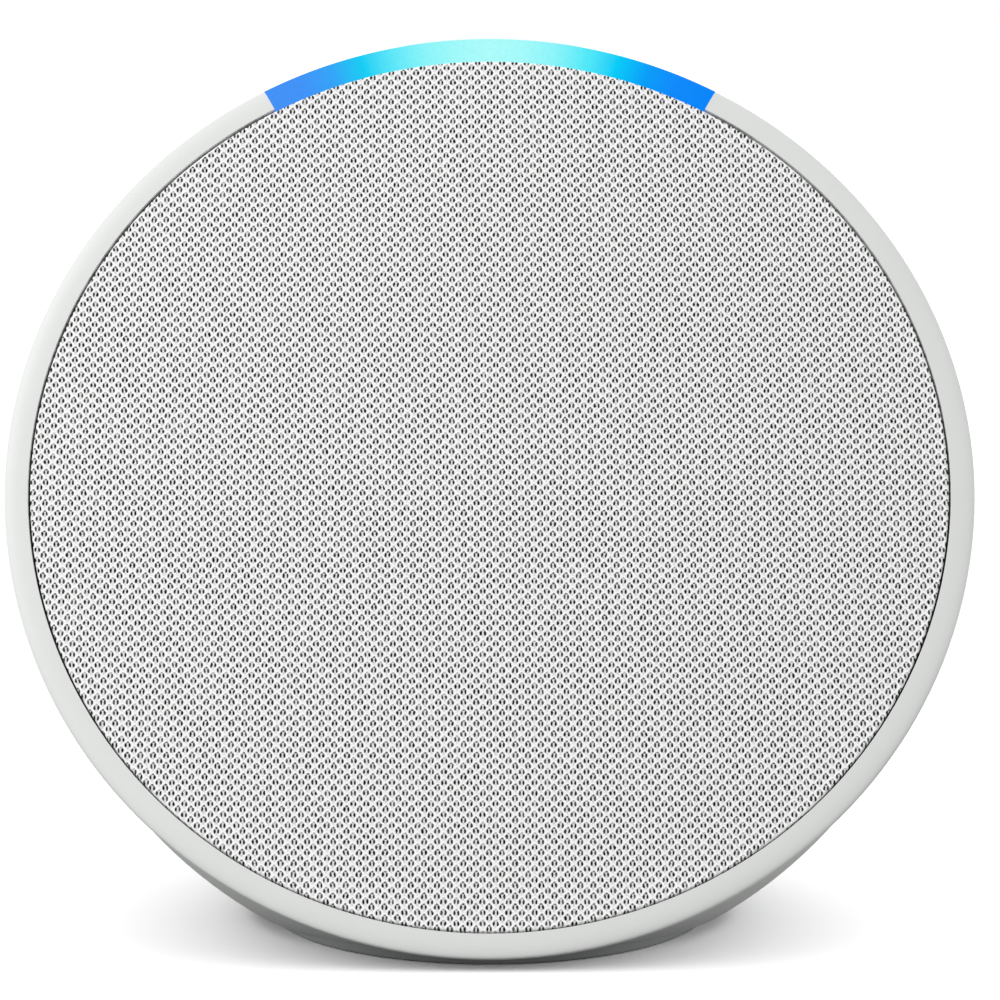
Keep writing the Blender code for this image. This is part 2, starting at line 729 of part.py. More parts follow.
def make_spider(face):
    """A corrugated cloth ring between the basket's ledge and the voice coil."""
    inner, outer, lip = COIL_RADII[1] + GAP, 13.2 * MM, 1.8 * MM
    base, waves, steps = -16.2 * MM, 2, 8
    wave = [
        (inner + (outer - inner) * k / steps, base + 0.45 * MM * sin(tau * waves * k / steps))
        for k in range(steps + 1)
    ]
    points = wave + [(outer + lip, base)]
    add_object("driver_spider", turned(strip_profile(points, 0.4 * MM), DRIVER_SEGMENTS), face, "spider_cloth")


def make_motor(face):
    """Top plate, ring magnet and T-shaped yoke, stacked behind the basket."""
    plate_top = -BASKET_BACK - GAP
    plate = tube(PLATE_BORE, PLATE_RADIUS, plate_top - PLATE_HEIGHT, plate_top, DRIVER_SEGMENTS)
    add_object("driver_top_plate", plate, face, "plated_steel")
    magnet_top = plate_top - PLATE_HEIGHT - GAP
    magnet = tube(MAGNET_RADII[0], MAGNET_RADII[1], magnet_top - MAGNET_HEIGHT, magnet_top, DRIVER_SEGMENTS)
    add_object("driver_magnet", magnet, face, "ferrite")
    yoke_top = magnet_top - MAGNET_HEIGHT - GAP
    profile = [
        (0.0, plate_top),
        (POLE_RADIUS, plate_top),
        (POLE_RADIUS, yoke_top),
        (PLATE_RADIUS, yoke_top),
        (PLATE_RADIUS, yoke_top - YOKE_HEIGHT),
        (0.0, yoke_top - YOKE_HEIGHT),
    ]
    add_object("driver_yoke", turned(profile, DRIVER_SEGMENTS), face, "plated_steel")


# Screws


def screw(head_radius, head_height, length):
    """Head above z = 0 with a round drive recess, shank below."""
    drive = 0.45 * head_radius
    profile = [
        (0.0, 0.4 * head_height),
        (drive, 0.4 * head_height),
        (drive, head_height),
        (0.8 * head_radius, head_height),
        (head_radius, 0.6 * head_height),
        (head_radius, 0.0),
        (SHANK_RADIUS, 0.0),
        (SHANK_RADIUS, -length),
        (0.0, -length - 0.4 * MM),
    ]
    return turned(profile, 10)


def make_driver_screws(face):
    seat = -DRIVER_FRONT + GAP
    for k, azimuth in enumerate(quarter_azimuths(), start=1):
        place = Matrix.Translation(at_azimuth(EAR_CIRCLE, azimuth, seat))
        add_object(f"driver_screw_{k}", screw(1.7 * MM, 1.1 * MM, 4.6 * MM), face, "plated_steel", place)


def make_baffle_screws(face):
    seat = -BAFFLE_FRONT + GAP
    for k, azimuth in enumerate(quarter_azimuths(), start=1):
        place = Matrix.Translation(at_azimuth(POST_CIRCLE, azimuth, seat))
        add_object(f"baffle_screw_{k}", screw(2.0 * MM, 1.4 * MM, 10.0 * MM), face, "plated_steel", place)


def make_board_screws(face):
    """Two screws, in opposite corners, from the back of the board into its standoffs."""
    seat = -CHAMBER_BACK - STANDOFF_HEIGHT - 2 * GAP - BOARD_SIZE[2]
    corners = board_holes()
    for k, (x, y) in enumerate((corners[0], corners[3]), start=1):
        place = Matrix.Translation((x, y, seat)) @ Matrix.Rotation(pi, 4, "X")
        add_object(f"board_screw_{k}", screw(1.6 * MM, 0.9 * MM, 4.2 * MM), face, "plated_steel", place)


def base_screw_places():
    half_x, half_y = BASE_SCREW_OVAL
    angles = [tau * k / 3 for k in range(3)]
    return [(half_x * sin(a), BASE_CENTRE_Y + half_y * cos(a)) for a in angles]


def make_base_screws():
    seat = BASE_COUNTERBORE[1] - GAP
    for k, (x, y) in enumerate(base_screw_places(), start=1):
        place = Matrix.Translation((x, y, seat)) @ Matrix.Rotation(pi, 4, "X")
        bm = screw(BASE_COUNTERBORE[0] - GAP, 0.65 * MM, 3.0 * MM)
        add_object(f"base_screw_{k}", bm, material="plated_steel", matrix=place)


# Electronics


def board_holes():
    across, up = BOARD_HOLES
    return [(x * across, BOARD_CENTRE_UP + y * up) for x in (-1, 1) for y in (-1, 1)]


def make_main_board(face):
    front = -CHAMBER_BACK - STANDOFF_HEIGHT - GAP
    thickness = BOARD_SIZE[2]
    slab = block(BOARD_SIZE, (0.0, BOARD_CENTRE_UP, front - thickness / 2))
    board = add_object("main_board", slab, face, "circuit_board")
    for x, y in board_holes():
        hole = rod(SCREW_HOLE, front - 2 * thickness, front + thickness, 10)
        cut(board, hole, face, Matrix.Translation((x, y, 0.0)))
    back = front - thickness - GAP
    up = BOARD_CENTRE_UP + 6.0 * MM
    shield = block(SHIELD_SIZE, (0.0, up, back - SHIELD_SIZE[2] / 2))
    add_object("shield_can", shield, face, "plated_steel")
    behind = back - SHIELD_SIZE[2] - GAP
    spreader = block(SPREADER_SIZE, (0.0, up + 4.0 * MM, behind - SPREADER_SIZE[2] / 2))
    add_object("heat_spreader", spreader, face, "aluminium")


def make_power_jack():
    """A barrel jack on the inlet's axis: a body, a round nose and a bore with a centre pin."""
    place = world_y_matrix()
    body_front = INLET_BOSS_START - GAP
    wide, long, tall = JACK_BODY
    slab = block((wide, tall, long), (0.0, 0.0, body_front - long / 2))
    jack = add_object("power_jack", slab, material="dark_plastic", matrix=place)
    nose = rod(JACK_NOSE_RADIUS, body_front - 1.0 * MM, INLET_SEAT_Y, 24)
    join(jack, nose, matrix=place)
    floor = INLET_SEAT_Y - JACK_BORE_DEPTH
    cut(jack, rod(JACK_BORE, floor, DEPTH, 20), matrix=place)
    pin = rod(JACK_PIN_RADIUS, floor + GAP, INLET_SEAT_Y - JACK_PIN_RECESS, 12)
    add_object("power_jack_pin", pin, material="plated_steel", matrix=place)


# Keys and microphones, stacked inwards from the dome's surface


def make_keys(face):
    for name, azimuth in KEY_AZIMUTHS.items():
        frame = make_frame(f"{name}_frame", Matrix())
        frame.parent = face
        frame.matrix_local = dome_normal_matrix(azimuth)
        make_key(f"key_{name}", frame)
        plunger = rod(PLUNGER_RADIUS, -PLUNGER_SPAN[1], -PLUNGER_SPAN[0], 12)
        add_object(f"switch_plunger_{name}", plunger, frame, "dark_plastic")
        make_switch(f"switch_body_{name}", frame)


def make_key(name, frame):
    """A round key whose top follows the dome, with a flange behind the wall and a stem."""
    bulge = [(r, -(r**2) / (2 * RIM_RADIUS)) for r in (0.0, KEY_RADIUS * 0.5, KEY_RADIUS * 0.92)]
    profile = bulge + [
        (KEY_RADIUS, -0.5 * MM),
        (KEY_RADIUS, -KEY_FLANGE[0]),
        (KEY_FLANGE_RADIUS, -KEY_FLANGE[0]),
        (KEY_FLANGE_RADIUS, -KEY_FLANGE[1]),
        (KEY_STEM_RADIUS, -KEY_FLANGE[1]),
        (KEY_STEM_RADIUS, -KEY_STEM_END),
        (0.0, -KEY_STEM_END),
    ]
    add_object(name, turned(profile, 20), frame, "key_plastic")


def make_switch(name, frame):
    top, bottom = SWITCH_SPAN
    slab = block((SWITCH_SIDE, SWITCH_SIDE, bottom - top), (0.0, 0.0, -(top + bottom) / 2))
    body = add_object(name, slab, frame, "plated_steel")
    cut(body, rod(SWITCH_BORE[0], -SWITCH_BORE[1], 0.0, 12), frame)


def make_microphones(face):
    for side, azimuth in MICROPHONE_AZIMUTHS.items():
        place = dome_normal_matrix(azimuth)
        top, bottom = MICROPHONE_GASKET_SPAN
        gasket = tube(MICROPHONE_HOLE, MICROPHONE_GASKET_RADIUS, -bottom, -top, 12)
        add_object(f"microphone_gasket_{side}", gasket, face, "black_rubber", place)
        body = block(MICROPHONE_SIZE, (0.0, 0.0, -bottom - GAP - MICROPHONE_SIZE[2] / 2))
        add_object(f"microphone_{side}", body, face, "plated_steel", place)


def key_row_section(top, bottom, half_width):
    """A rectangle in the (radius, height) plane, square to the dome's normal at the keys."""
    angle = dome_angle(KEY_DEPTH)
    surface = Vector(dome_point(angle))
    inwards = -Vector((cos(angle) / RIM_RADIUS, -sin(angle) / DOME_LENGTH)).normalized()
    along = Vector((-inwards.y, inwards.x))
    corners = ((top, half_width), (top, -half_width), (bottom, -half_width), (bottom, half_width))
    return [tuple(surface + inwards * depth + along * side) for depth, side in corners]


def make_flex_board(face):
    section = key_row_section(FLEX_SPAN[0], FLEX_SPAN[1], BRACKET_HALF_WIDTH)
    half = BRACKET_LEG_ANGLE - radians(1.0)
    add_object("button_flex", swept(section, -half, half, 10), face, "flex_board")


def make_bracket(face):
    """A curved strip under the switches, with a leg at each end that reaches the wall."""
    low = key_row_section(BRACKET_SPAN[0], BRACKET_SPAN[1], BRACKET_HALF_WIDTH)
    high = key_row_section(BRACKET_LEG_TOP, BRACKET_SPAN[1], BRACKET_HALF_WIDTH)
    inner = BRACKET_LEG_ANGLE
    step = radians(0.2)
    stations = [(-BRACKET_HALF_ANGLE, high), (-inner - step, high)]
    stations += [(inner * (k / 5 - 1), low) for k in range(11)]
    stations += [(inner + step, high), (BRACKET_HALF_ANGLE, high)]
    bm = skin([[at_azimuth(r, a, h) for r, h in section] for a, section in stations], closed=False)
    add_object("switch_bracket", bm, face, "dark_plastic")


# Base


def make_base():
    plate = add_object("base_plate", oval(BASE_PLATE, BASE_Z, BASE_PLATE_TOP), material="shell_plastic")
    wide, deep = BASE_COUNTERBORE
    stepped = [
        (0.0, BASE_PLATE_TOP + GAP),
        (SCREW_HOLE, BASE_PLATE_TOP + GAP),
        (SCREW_HOLE, deep),
        (wide, deep),
        (wide, 0.0),
        (0.0, 0.0),
    ]
    for x, y in base_screw_places():
        cut(plate, turned(stepped, 12), matrix=Matrix.Translation((x, y, 0.0)))
    foot = oval_ring(FOOT_INNER, FOOT_OUTER, 0.0, FOOT_TOP)
    add_object("rubber_foot", foot, material="rubber")


# Leads


def led_lead_crossing():
    return at_azimuth(42.0 * MM, radians(35.0), 0.0)


def smooth_route(points, per_span=4):
    """Points along a Catmull-Rom curve through the given ones."""
    ends = [2 * points[0] - points[1]] + points + [2 * points[-1] - points[-2]]
    route = []
    for a, b, c, d in zip(ends, ends[1:], ends[2:], ends[3:]):
        for k in range(per_span):
            t = k / per_span
            bend = (2 * a - 5 * b + 4 * c - d) * t**2 + (3 * b - a - 3 * c + d) * t**3
            route.append(0.5 * (2 * b + (c - a) * t + bend))
    route.append(points[-1])
    return route


def make_lead(name, points, face, material="cable_jacket"):
    curve = bpy.data.curves.new(name, "CURVE")
    curve.dimensions = "3D"
    curve.bevel_depth = LEAD_RADIUS
    curve.bevel_resolution = 1
    curve.use_fill_caps = True
    curve.materials.append(bpy.data.materials[material])
    route = smooth_route(points)
    spline = curve.splines.new("POLY")
    spline.points.add(len(route) - 1)
    for knot, place in zip(spline.points, route):
        knot.co = (*place, 1.0)
    lead = bpy.data.objects.new(name, curve)
    lead.parent = face
    bpy.context.collection.objects.link(lead)


def make_leads(face):
    board_front = -(CHAMBER_BACK + STANDOFF_HEIGHT + GAP)
    board_back = board_front - BOARD_SIZE[2]
    near = LEAD_RADIUS + GAP
    low = SPEAKER_LEAD_CROSSING.y
    speaker = [
        (0.0, low, -15.5 * MM),
        (0.0, low, -26.0 * MM),
        (0.0, low, -CHAMBER_BACK),
        (0.0, low + 2.5 * MM, board_front + near + 0.6 * MM),
        (0.0, low + 8.0 * MM, board_front + near),
    ]
    make_lead("speaker_lead", [Vector(p) for p in speaker], face)

    crossing = led_lead_crossing()
    hole_x, hole_y = crossing.x, crossing.y
    led = [
        at_azimuth(44.6 * MM, LED_BOARD_HALF_ANGLE + radians(1.4), -8.9 * MM),
        Vector((hole_x, hole_y, -BAFFLE_FRONT)),
        Vector((hole_x, hole_y, -BAFFLE_FRONT - BAFFLE_THICKNESS - LEAD_RADIUS)),
        Vector((hole_x * 0.88, hole_y * 0.88, -20.0 * MM)),
        Vector((hole_x * 0.72, hole_y * 0.76, -31.0 * MM)),
        Vector((hole_x * 0.58, hole_y * 0.60, board_front + near + 0.3 * MM)),
        Vector((hole_x * 0.50, hole_y * 0.48, board_front + near)),
    ]
    make_lead("led_lead", led, face)

    jack_tail = face_matrix().inverted() @ Vector((0.0, INLET_BOSS_START - JACK_BODY[1], INLET_Z))
    power = [
        jack_tail + Vector((0.0, -0.9 * MM, 0.7 * MM)),
        Vector((-4.0 * MM, jack_tail.y - 2.4 * MM, jack_tail.z + 1.6 * MM)),
        Vector((-9.0 * MM, jack_tail.y - 2.0 * MM, board_back - near - 0.8 * MM)),
        Vector((-14.0 * MM, jack_tail.y, board_back - near)),
    ]
    make_lead("power_lead", power, face)


def build():
    clear_scene()
    for name, (colour, roughness, metallic) in MATERIALS.items():
        make_material(name, colour, roughness, metallic)
    face = make_frame("face_frame", face_matrix())
    make_housing(face)
    make_light_bar(face)
    make_led_board(face)
    make_grille_cloth(face)
    make_grille_plate(face)
    make_baffle(face)
    make_chamber(face)
    make_basket(face)
    make_driver_gasket(face)
    make_surround(face)
    make_cone(face)
    make_dust_cap(face)
    make_voice_coil(face)
    make_spider(face)
    make_motor(face)
    make_driver_screws(face)
    make_baffle_screws(face)
    make_main_board(face)
    make_board_screws(face)
    make_power_jack()
    make_keys(face)
    make_microphones(face)
    make_flex_board(face)
    make_bracket(face)
    make_base()
    make_base_screws()
    make_leads(face)


build()
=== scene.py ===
"""The looks of a compact smart speaker: moulded shell, lit bar, open-knit cloth, keys, foot, studio.

Lengths are in metres. Pieces on the front are built in the face frame: +Z is the outward
normal of the leaning front, +Y runs up along it, and depths are negative heights. Azimuths
are measured about the face normal, from straight up towards +X.
"""

import json

from math import asin, cos, pi, radians, sin, sqrt, tau

import bmesh
import bpy
import numpy as np
from mathutils import Matrix, Vector


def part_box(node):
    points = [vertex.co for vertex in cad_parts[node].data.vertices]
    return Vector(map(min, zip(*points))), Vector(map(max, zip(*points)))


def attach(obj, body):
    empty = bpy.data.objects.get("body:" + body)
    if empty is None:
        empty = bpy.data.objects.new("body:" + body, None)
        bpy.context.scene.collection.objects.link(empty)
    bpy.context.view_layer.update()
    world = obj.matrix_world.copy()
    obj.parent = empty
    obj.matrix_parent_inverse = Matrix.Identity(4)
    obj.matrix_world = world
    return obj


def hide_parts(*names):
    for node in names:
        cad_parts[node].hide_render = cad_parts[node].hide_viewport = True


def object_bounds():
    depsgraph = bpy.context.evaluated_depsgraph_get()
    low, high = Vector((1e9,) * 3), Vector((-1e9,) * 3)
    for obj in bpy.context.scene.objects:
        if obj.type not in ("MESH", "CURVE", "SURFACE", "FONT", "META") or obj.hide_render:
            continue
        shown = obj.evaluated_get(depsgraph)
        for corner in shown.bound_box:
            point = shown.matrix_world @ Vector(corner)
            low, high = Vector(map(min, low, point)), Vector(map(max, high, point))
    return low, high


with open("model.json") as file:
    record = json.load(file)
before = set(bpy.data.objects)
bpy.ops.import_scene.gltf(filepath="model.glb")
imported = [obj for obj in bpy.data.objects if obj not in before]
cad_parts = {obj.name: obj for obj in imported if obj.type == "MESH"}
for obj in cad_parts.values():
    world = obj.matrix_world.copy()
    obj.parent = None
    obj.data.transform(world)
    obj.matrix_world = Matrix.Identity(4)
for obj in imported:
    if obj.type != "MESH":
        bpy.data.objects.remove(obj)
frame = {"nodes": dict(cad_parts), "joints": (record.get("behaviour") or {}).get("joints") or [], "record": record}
cad_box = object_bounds()

MM = 0.001
JOINTS = {joint["name"]: joint for joint in frame["joints"]}

# The CAD's driving dimensions, from its boxes where a box gives them
LOW, HIGH = cad_box
FACE_NORMAL = Vector(JOINTS["cone_stroke"]["axis"]).normalized()
TILT = asin(FACE_NORMAL.z)
EDGE_ROUND = 0.5 * MM
WALL = 2.2 * MM
RIM_RADIUS = (HIGH.x - LOW.x) / 2
RIM_INNER = 47.03 * MM
RIM_POWER = 2.6
LIP_DEPTH = 1.0 * MM
LIP_STEP = 1.3 * MM
LIP_BLEND = 26.0 * MM
RECESS_DEPTH = 4.2 * MM
LEDGE_RADIUS = 45.6 * MM
LEDGE_BACK = 5.7 * MM
FLOOR_TOP = 4.4 * MM
BASE_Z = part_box("housing")[0].z
CORNER_LOSS = EDGE_ROUND * (sin(TILT) + cos(TILT) - 1)
FACE_Y = LOW.y + RIM_RADIUS * sin(TILT) - CORNER_LOSS
FACE_Z = HIGH.z - RIM_RADIUS * cos(TILT) + CORNER_LOSS
FACE_CENTRE = Vector((0.0, FACE_Y, FACE_Z))
FACE = Matrix.Translation(FACE_CENTRE) @ Matrix.Rotation(pi / 2 - TILT, 4, "X")
WORLD = Matrix.Identity(4)
BACK_REACH = HIGH.y - FACE_Y - EDGE_ROUND * cos(TILT)
DOME_LENGTH = sqrt(BACK_REACH**2 - (RIM_RADIUS * sin(TILT)) ** 2) / cos(TILT)

CLOTH_RADIUS = (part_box("grille_cloth")[1].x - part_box("grille_cloth")[0].x) / 2
BAR_HALF_ANGLE = asin(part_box("light_bar")[1].x / RIM_RADIUS)
BAR_BACK = 5.0 * MM
BAR_LEG = (45.0 * MM, 46.6 * MM)
BAR_LEG_TOP = 4.5 * MM
BAR_LEG_END = 7.4 * MM

KEY_DEPTH = 19.0 * MM
KEY_RADIUS = 4.5 * MM
KEYS = {"microphone_off": radians(-19.5), "volume_down": 0.0, "volume_up": radians(19.5)}
MICROPHONES = (radians(-9.75), radians(9.75))
MICROPHONE_HOLE = 0.6 * MM

INLET_Z = 18.0 * MM
INLET_RECESS_RADIUS = 5.8 * MM
INLET_BOSS_RADIUS = 8.2 * MM
INLET_BOSS_START = 28.0 * MM
JACK_HOLE_RADIUS = 4.15 * MM
INLET_SEAT_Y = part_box("power_jack")[1].y
BASE_CENTRE_Y = -9.8 * MM

# The knit: two columns of loops, half a pitch apart both ways
PITCH_U = 1.2924 * MM
PITCH_V = 1.1089 * MM


# Node helpers


def new_material(name):
    material = bpy.data.materials.new(name)
    material.use_nodes = True
    return material, material.node_tree, material.node_tree.nodes["Principled BSDF"]


def feed(tree, socket, value):
    if isinstance(value, bpy.types.NodeSocket):
        tree.links.new(value, socket)
    else:
        socket.default_value = value


def calc(tree, operation, *values, clamp=False):
    node = tree.nodes.new("ShaderNodeMath")
    node.operation = operation
    node.use_clamp = clamp
    for socket, value in zip(node.inputs, values):
        feed(tree, socket, value)
    return node.outputs[0]


def vector_calc(tree, operation, *values):
    node = tree.nodes.new("ShaderNodeVectorMath")
    node.operation = operation
    for socket, value in zip(node.inputs, values):
        feed(tree, socket, value)
    return node.outputs["Value" if operation in ("LENGTH", "DOT_PRODUCT") else "Vector"]


def object_coordinates(tree):
    return tree.nodes.new("ShaderNodeTexCoord").outputs["Object"]


def face_millimetres(tree):
    """Coordinates in the face frame, in millimetres."""
    node = tree.nodes.new("ShaderNodeMapping")
    node.vector_type = "TEXTURE"
    tree.links.new(object_coordinates(tree), node.inputs["Vector"])
    node.inputs["Location"].default_value = FACE_CENTRE
    node.inputs["Rotation"].default_value = (pi / 2 - TILT, 0.0, 0.0)
    node.inputs["Scale"].default_value = (MM, MM, MM)
    return node.outputs["Vector"]


def noise(tree, coordinates, scale, detail=2.0, roughness=0.5):
    node = tree.nodes.new("ShaderNodeTexNoise")
    tree.links.new(coordinates, node.inputs["Vector"])
    node.inputs["Scale"].default_value = scale
    node.inputs["Detail"].default_value = detail
    node.inputs["Roughness"].default_value = roughness
    return node


def remap(tree, value, low, high, to_low, to_high, smooth=False):
    node = tree.nodes.new("ShaderNodeMapRange")
    node.interpolation_type = "SMOOTHSTEP" if smooth else "LINEAR"
    for socket, number in zip(node.inputs, (value, low, high, to_low, to_high)):
        feed(tree, socket, number)
    return node.outputs["Result"]


def blend_colours(tree, factor, first, second):
    node = tree.nodes.new("ShaderNodeMix")
    node.data_type = "RGBA"
    feed(tree, node.inputs[0], factor)
    feed(tree, node.inputs[6], first)
    feed(tree, node.inputs[7], second)
    return node.outputs[2]


def bump(tree, shader, height, distance, strength=1.0):
    node = tree.nodes.new("ShaderNodeBump")
    node.inputs["Strength"].default_value = strength
    node.inputs["Distance"].default_value = distance
    tree.links.new(height, node.inputs["Height"])
    tree.links.new(node.outputs["Normal"], shader.inputs["Normal"])


def linear(*srgb):
    """A linear colour with alpha from 0-255 display values."""
    levels = [v / 255 for v in srgb]
    return tuple(v / 12.92 if v <= 0.04045 else ((v + 0.055) / 1.055) ** 2.4 for v in levels) + (1.0,)


# Materials


def moulded(name, colour, roughness, grain=0.012 * MM, grain_scale=9000.0, spread=0.03, specular=0.5):
    """Moulded plastic or rubber: a fine spark-eroded grain and a faint cloudiness."""
    material, tree, shader = new_material(name)
    place = object_coordinates(tree)
    cloud = noise(tree, place, 90.0, 3.0).outputs["Fac"]
    fine = noise(tree, place, grain_scale, 3.0, 0.6).outputs["Fac"]
    dark = tuple(c * (1 - spread) for c in colour[:3]) + (1.0,)
    light = tuple(min(1.0, c * (1 + spread)) for c in colour[:3]) + (1.0,)
    mixed = calc(tree, "ADD", calc(tree, "MULTIPLY", cloud, 0.7), calc(tree, "MULTIPLY", fine, 0.3))
    tree.links.new(blend_colours(tree, mixed, dark, light), shader.inputs["Base Color"])
    rough = remap(tree, fine, 0.3, 0.7, roughness - 0.05, roughness + 0.05)
    tree.links.new(rough, shader.inputs["Roughness"])
    shader.inputs["Specular IOR Level"].default_value = specular
    bump(tree, shader, fine, grain)
    return material


def metal(name, colour, roughness, stretch=(1.0, 1.0, 12.0)):
    """Rolled or turned metal with fine streaks along one axis."""
    material, tree, shader = new_material(name)
    node = tree.nodes.new("ShaderNodeMapping")
    tree.links.new(object_coordinates(tree), node.inputs["Vector"])
    node.inputs["Scale"].default_value = stretch
    streak = noise(tree, node.outputs["Vector"], 1500.0, 4.0, 0.65).outputs["Fac"]
    dark = tuple(c * 0.86 for c in colour[:3]) + (1.0,)
    tree.links.new(blend_colours(tree, streak, dark, colour), shader.inputs["Base Color"])
    rough = remap(tree, streak, 0.3, 0.7, roughness - 0.08, roughness + 0.1)
    tree.links.new(rough, shader.inputs["Roughness"])
    shader.inputs["Metallic"].default_value = 1.0
    bump(tree, shader, streak, 0.004 * MM)
    return material


def circuit_board(name, mask, copper, pitch=0.9):
    """Solder mask over traces: a grid of straight runs that shows as a slight relief."""
    material, tree, shader = new_material(name)
    place = object_coordinates(tree)
    node = tree.nodes.new("ShaderNodeTexBrick")
    tree.links.new(place, node.inputs["Vector"])
    node.inputs["Scale"].default_value = 1000.0 / (pitch * 4)
    node.inputs["Mortar Size"].default_value = 0.06
    node.inputs["Mortar Smooth"].default_value = 0.2
    traces = node.outputs["Fac"]
    tree.links.new(blend_colours(tree, traces, mask, copper), shader.inputs["Base Color"])
    grain = noise(tree, place, 4000.0).outputs["Fac"]
    tree.links.new(remap(tree, grain, 0.3, 0.7, 0.3, 0.45), shader.inputs["Roughness"])
    bump(tree, shader, traces, 0.03 * MM)
    return material


def woven(name, colour, pitch, roughness=0.9):
    """A plain, fine cloth or paper: crossed waves of the given pitch with fibre noise."""
    material, tree, shader = new_material(name)
    place = vector_calc(tree, "SCALE", object_coordinates(tree))
    place.node.inputs["Scale"].default_value = tau / pitch
    parts = tree.nodes.new("ShaderNodeSeparateXYZ")
    tree.links.new(place, parts.inputs[0])
    across = calc(tree, "SINE", parts.outputs["X"])
    along = calc(tree, "SINE", parts.outputs["Z"])
    weave = remap(tree, calc(tree, "MULTIPLY", across, along), -1.0, 1.0, 0.0, 1.0)
    fibre = noise(tree, object_coordinates(tree), 6000.0, 3.0).outputs["Fac"]
    height = calc(tree, "ADD", calc(tree, "MULTIPLY", weave, 0.6), calc(tree, "MULTIPLY", fibre, 0.4))
    dark = tuple(c * 0.6 for c in colour[:3]) + (1.0,)
    tree.links.new(blend_colours(tree, height, dark, colour), shader.inputs["Base Color"])
    shader.inputs["Roughness"].default_value = roughness
    bump(tree, shader, height, 0.05 * MM)
    return material


BAR_COLOURS = (
    (-28.6, (68, 146, 248)),
    (-24.0, (65, 148, 250)),
    (-20.0, (50, 166, 249)),
    (-16.0, (17, 208, 246)),
    (-12.0, (96, 234, 251)),
    (-8.0, (140, 247, 251)),
    (-4.0, (163, 252, 252)),
    (0.0, (173, 254, 252)),
    (4.0, (166, 252, 252)),
    (8.0, (141, 247, 252)),
    (12.0, (86, 236, 250)),
    (16.0, (2, 206, 250)),
    (20.0, (4, 158, 251)),
    (24.0, (12, 138, 253)),
    (28.6, (2, 135, 252)),
)


def lit_lens():
    """A milky lens lit from inside: pale cyan in the middle, blue at both ends."""
    material, tree, shader = new_material("lit_lens")
    place = face_millimetres(tree)
    parts = tree.nodes.new("ShaderNodeSeparateXYZ")
    tree.links.new(place, parts.inputs[0])
    azimuth = calc(tree, "ARCTAN2", parts.outputs["X"], parts.outputs["Y"])
    along = remap(tree, azimuth, -BAR_HALF_ANGLE, BAR_HALF_ANGLE, 0.0, 1.0)
    ramp = tree.nodes.new("ShaderNodeValToRGB")
    ramp.color_ramp.interpolation = "LINEAR"
    tree.links.new(along, ramp.inputs["Fac"])
    stops = ramp.color_ramp.elements
    span = BAR_COLOURS[-1][0] - BAR_COLOURS[0][0]
    for k, (angle, colour) in enumerate(BAR_COLOURS):
        position = (angle - BAR_COLOURS[0][0]) / span
        stop = stops[0] if k == 0 else stops[-1] if k == len(BAR_COLOURS) - 1 else stops.new(position)
        stop.color = linear(*colour)
    grain = noise(tree, object_coordinates(tree), 2500.0).outputs["Fac"]
    glow = vector_calc(tree, "SCALE", ramp.outputs["Color"])
    feed(tree, glow.node.inputs["Scale"], remap(tree, grain, 0.3, 0.7, 0.95, 1.0))
    tree.links.new(glow, shader.inputs["Emission Color"])
    shader.inputs["Emission Strength"].default_value = 1.0
    shader.inputs["Base Color"].default_value = (0.0, 0.002, 0.004, 1.0)
    tree.links.new(remap(tree, grain, 0.3, 0.7, 0.5, 0.6), shader.inputs["Roughness"])
    shader.inputs["Specular IOR Level"].default_value = 0.03
    return material


# The painted shade of one loop of the knit, in millimetres from its centre
LOOP_OVAL = (0.19, 0.115, 0.25)
LOOP_LEAN = 0.0
LOOP_HEAD = (0.03, 0.34, 0.12)
LOOP_ARCH_SHADOW = (0.195, 0.31, 0.01)


def loop_painted_shade(tree, x, y, head_shade_strength, arch_shadow_strength):
    """How much painted shade a point gets from a loop: painted shade in two ovals where the loop is open and a
    small one above, a painted shadow along the arch between, and a faint painted shade below.
    """
    offset, half_width, half_height = LOOP_OVAL
    lean = calc(tree, "MULTIPLY", y, LOOP_LEAN)
    side = calc(tree, "ADD", calc(tree, "SUBTRACT", calc(tree, "ABSOLUTE", x), offset), lean)
    # Painted shade in the two oval openings of the loop
    oval = ellipse(tree, side, y, half_width, half_height)
    oval = remap(tree, oval, 0.75, 1.2, 1.0, 0.0, smooth=True)
    # A small spot of painted shade above the ovals
    head_x, head_y, head_radius = LOOP_HEAD
    across = calc(tree, "SUBTRACT", x, head_x)
    head = ellipse(tree, across, calc(tree, "SUBTRACT", y, head_y), head_radius, head_radius * 0.8)
    head = remap(tree, head, 0.6, 1.4, head_shade_strength, 0.0, smooth=True)
    # A painted shadow along the loop's arch, fainter towards its lower ends
    arch_x, arch_y, arch_low = LOOP_ARCH_SHADOW
    ring = ellipse(tree, x, calc(tree, "SUBTRACT", y, arch_low), arch_x, arch_y)
    ring = calc(tree, "ABSOLUTE", calc(tree, "SUBTRACT", ring, 1.0))
    ring = remap(tree, ring, 0.0, 0.4, arch_shadow_strength, 0.0, smooth=True)
    ring = calc(tree, "MULTIPLY", ring, remap(tree, y, -0.2, 0.1, 0.55, 1.0))
    # A faint spot of painted shade below the loop
    foot = ellipse(tree, x, calc(tree, "ADD", y, 0.40), 0.2, 0.16)
    foot = remap(tree, foot, 0.3, 1.4, 0.2, 0.0, smooth=True)
    return calc(tree, "MAXIMUM", calc(tree, "MAXIMUM", oval, head), calc(tree, "MAXIMUM", ring, foot))


def ellipse(tree, x, y, half_width, half_height):
    x = calc(tree, "DIVIDE", x, half_width)
    y = calc(tree, "DIVIDE", y, half_height)
    square = calc(tree, "ADD", calc(tree, "MULTIPLY", x, x), calc(tree, "MULTIPLY", y, y))
    return calc(tree, "SQRT", square)


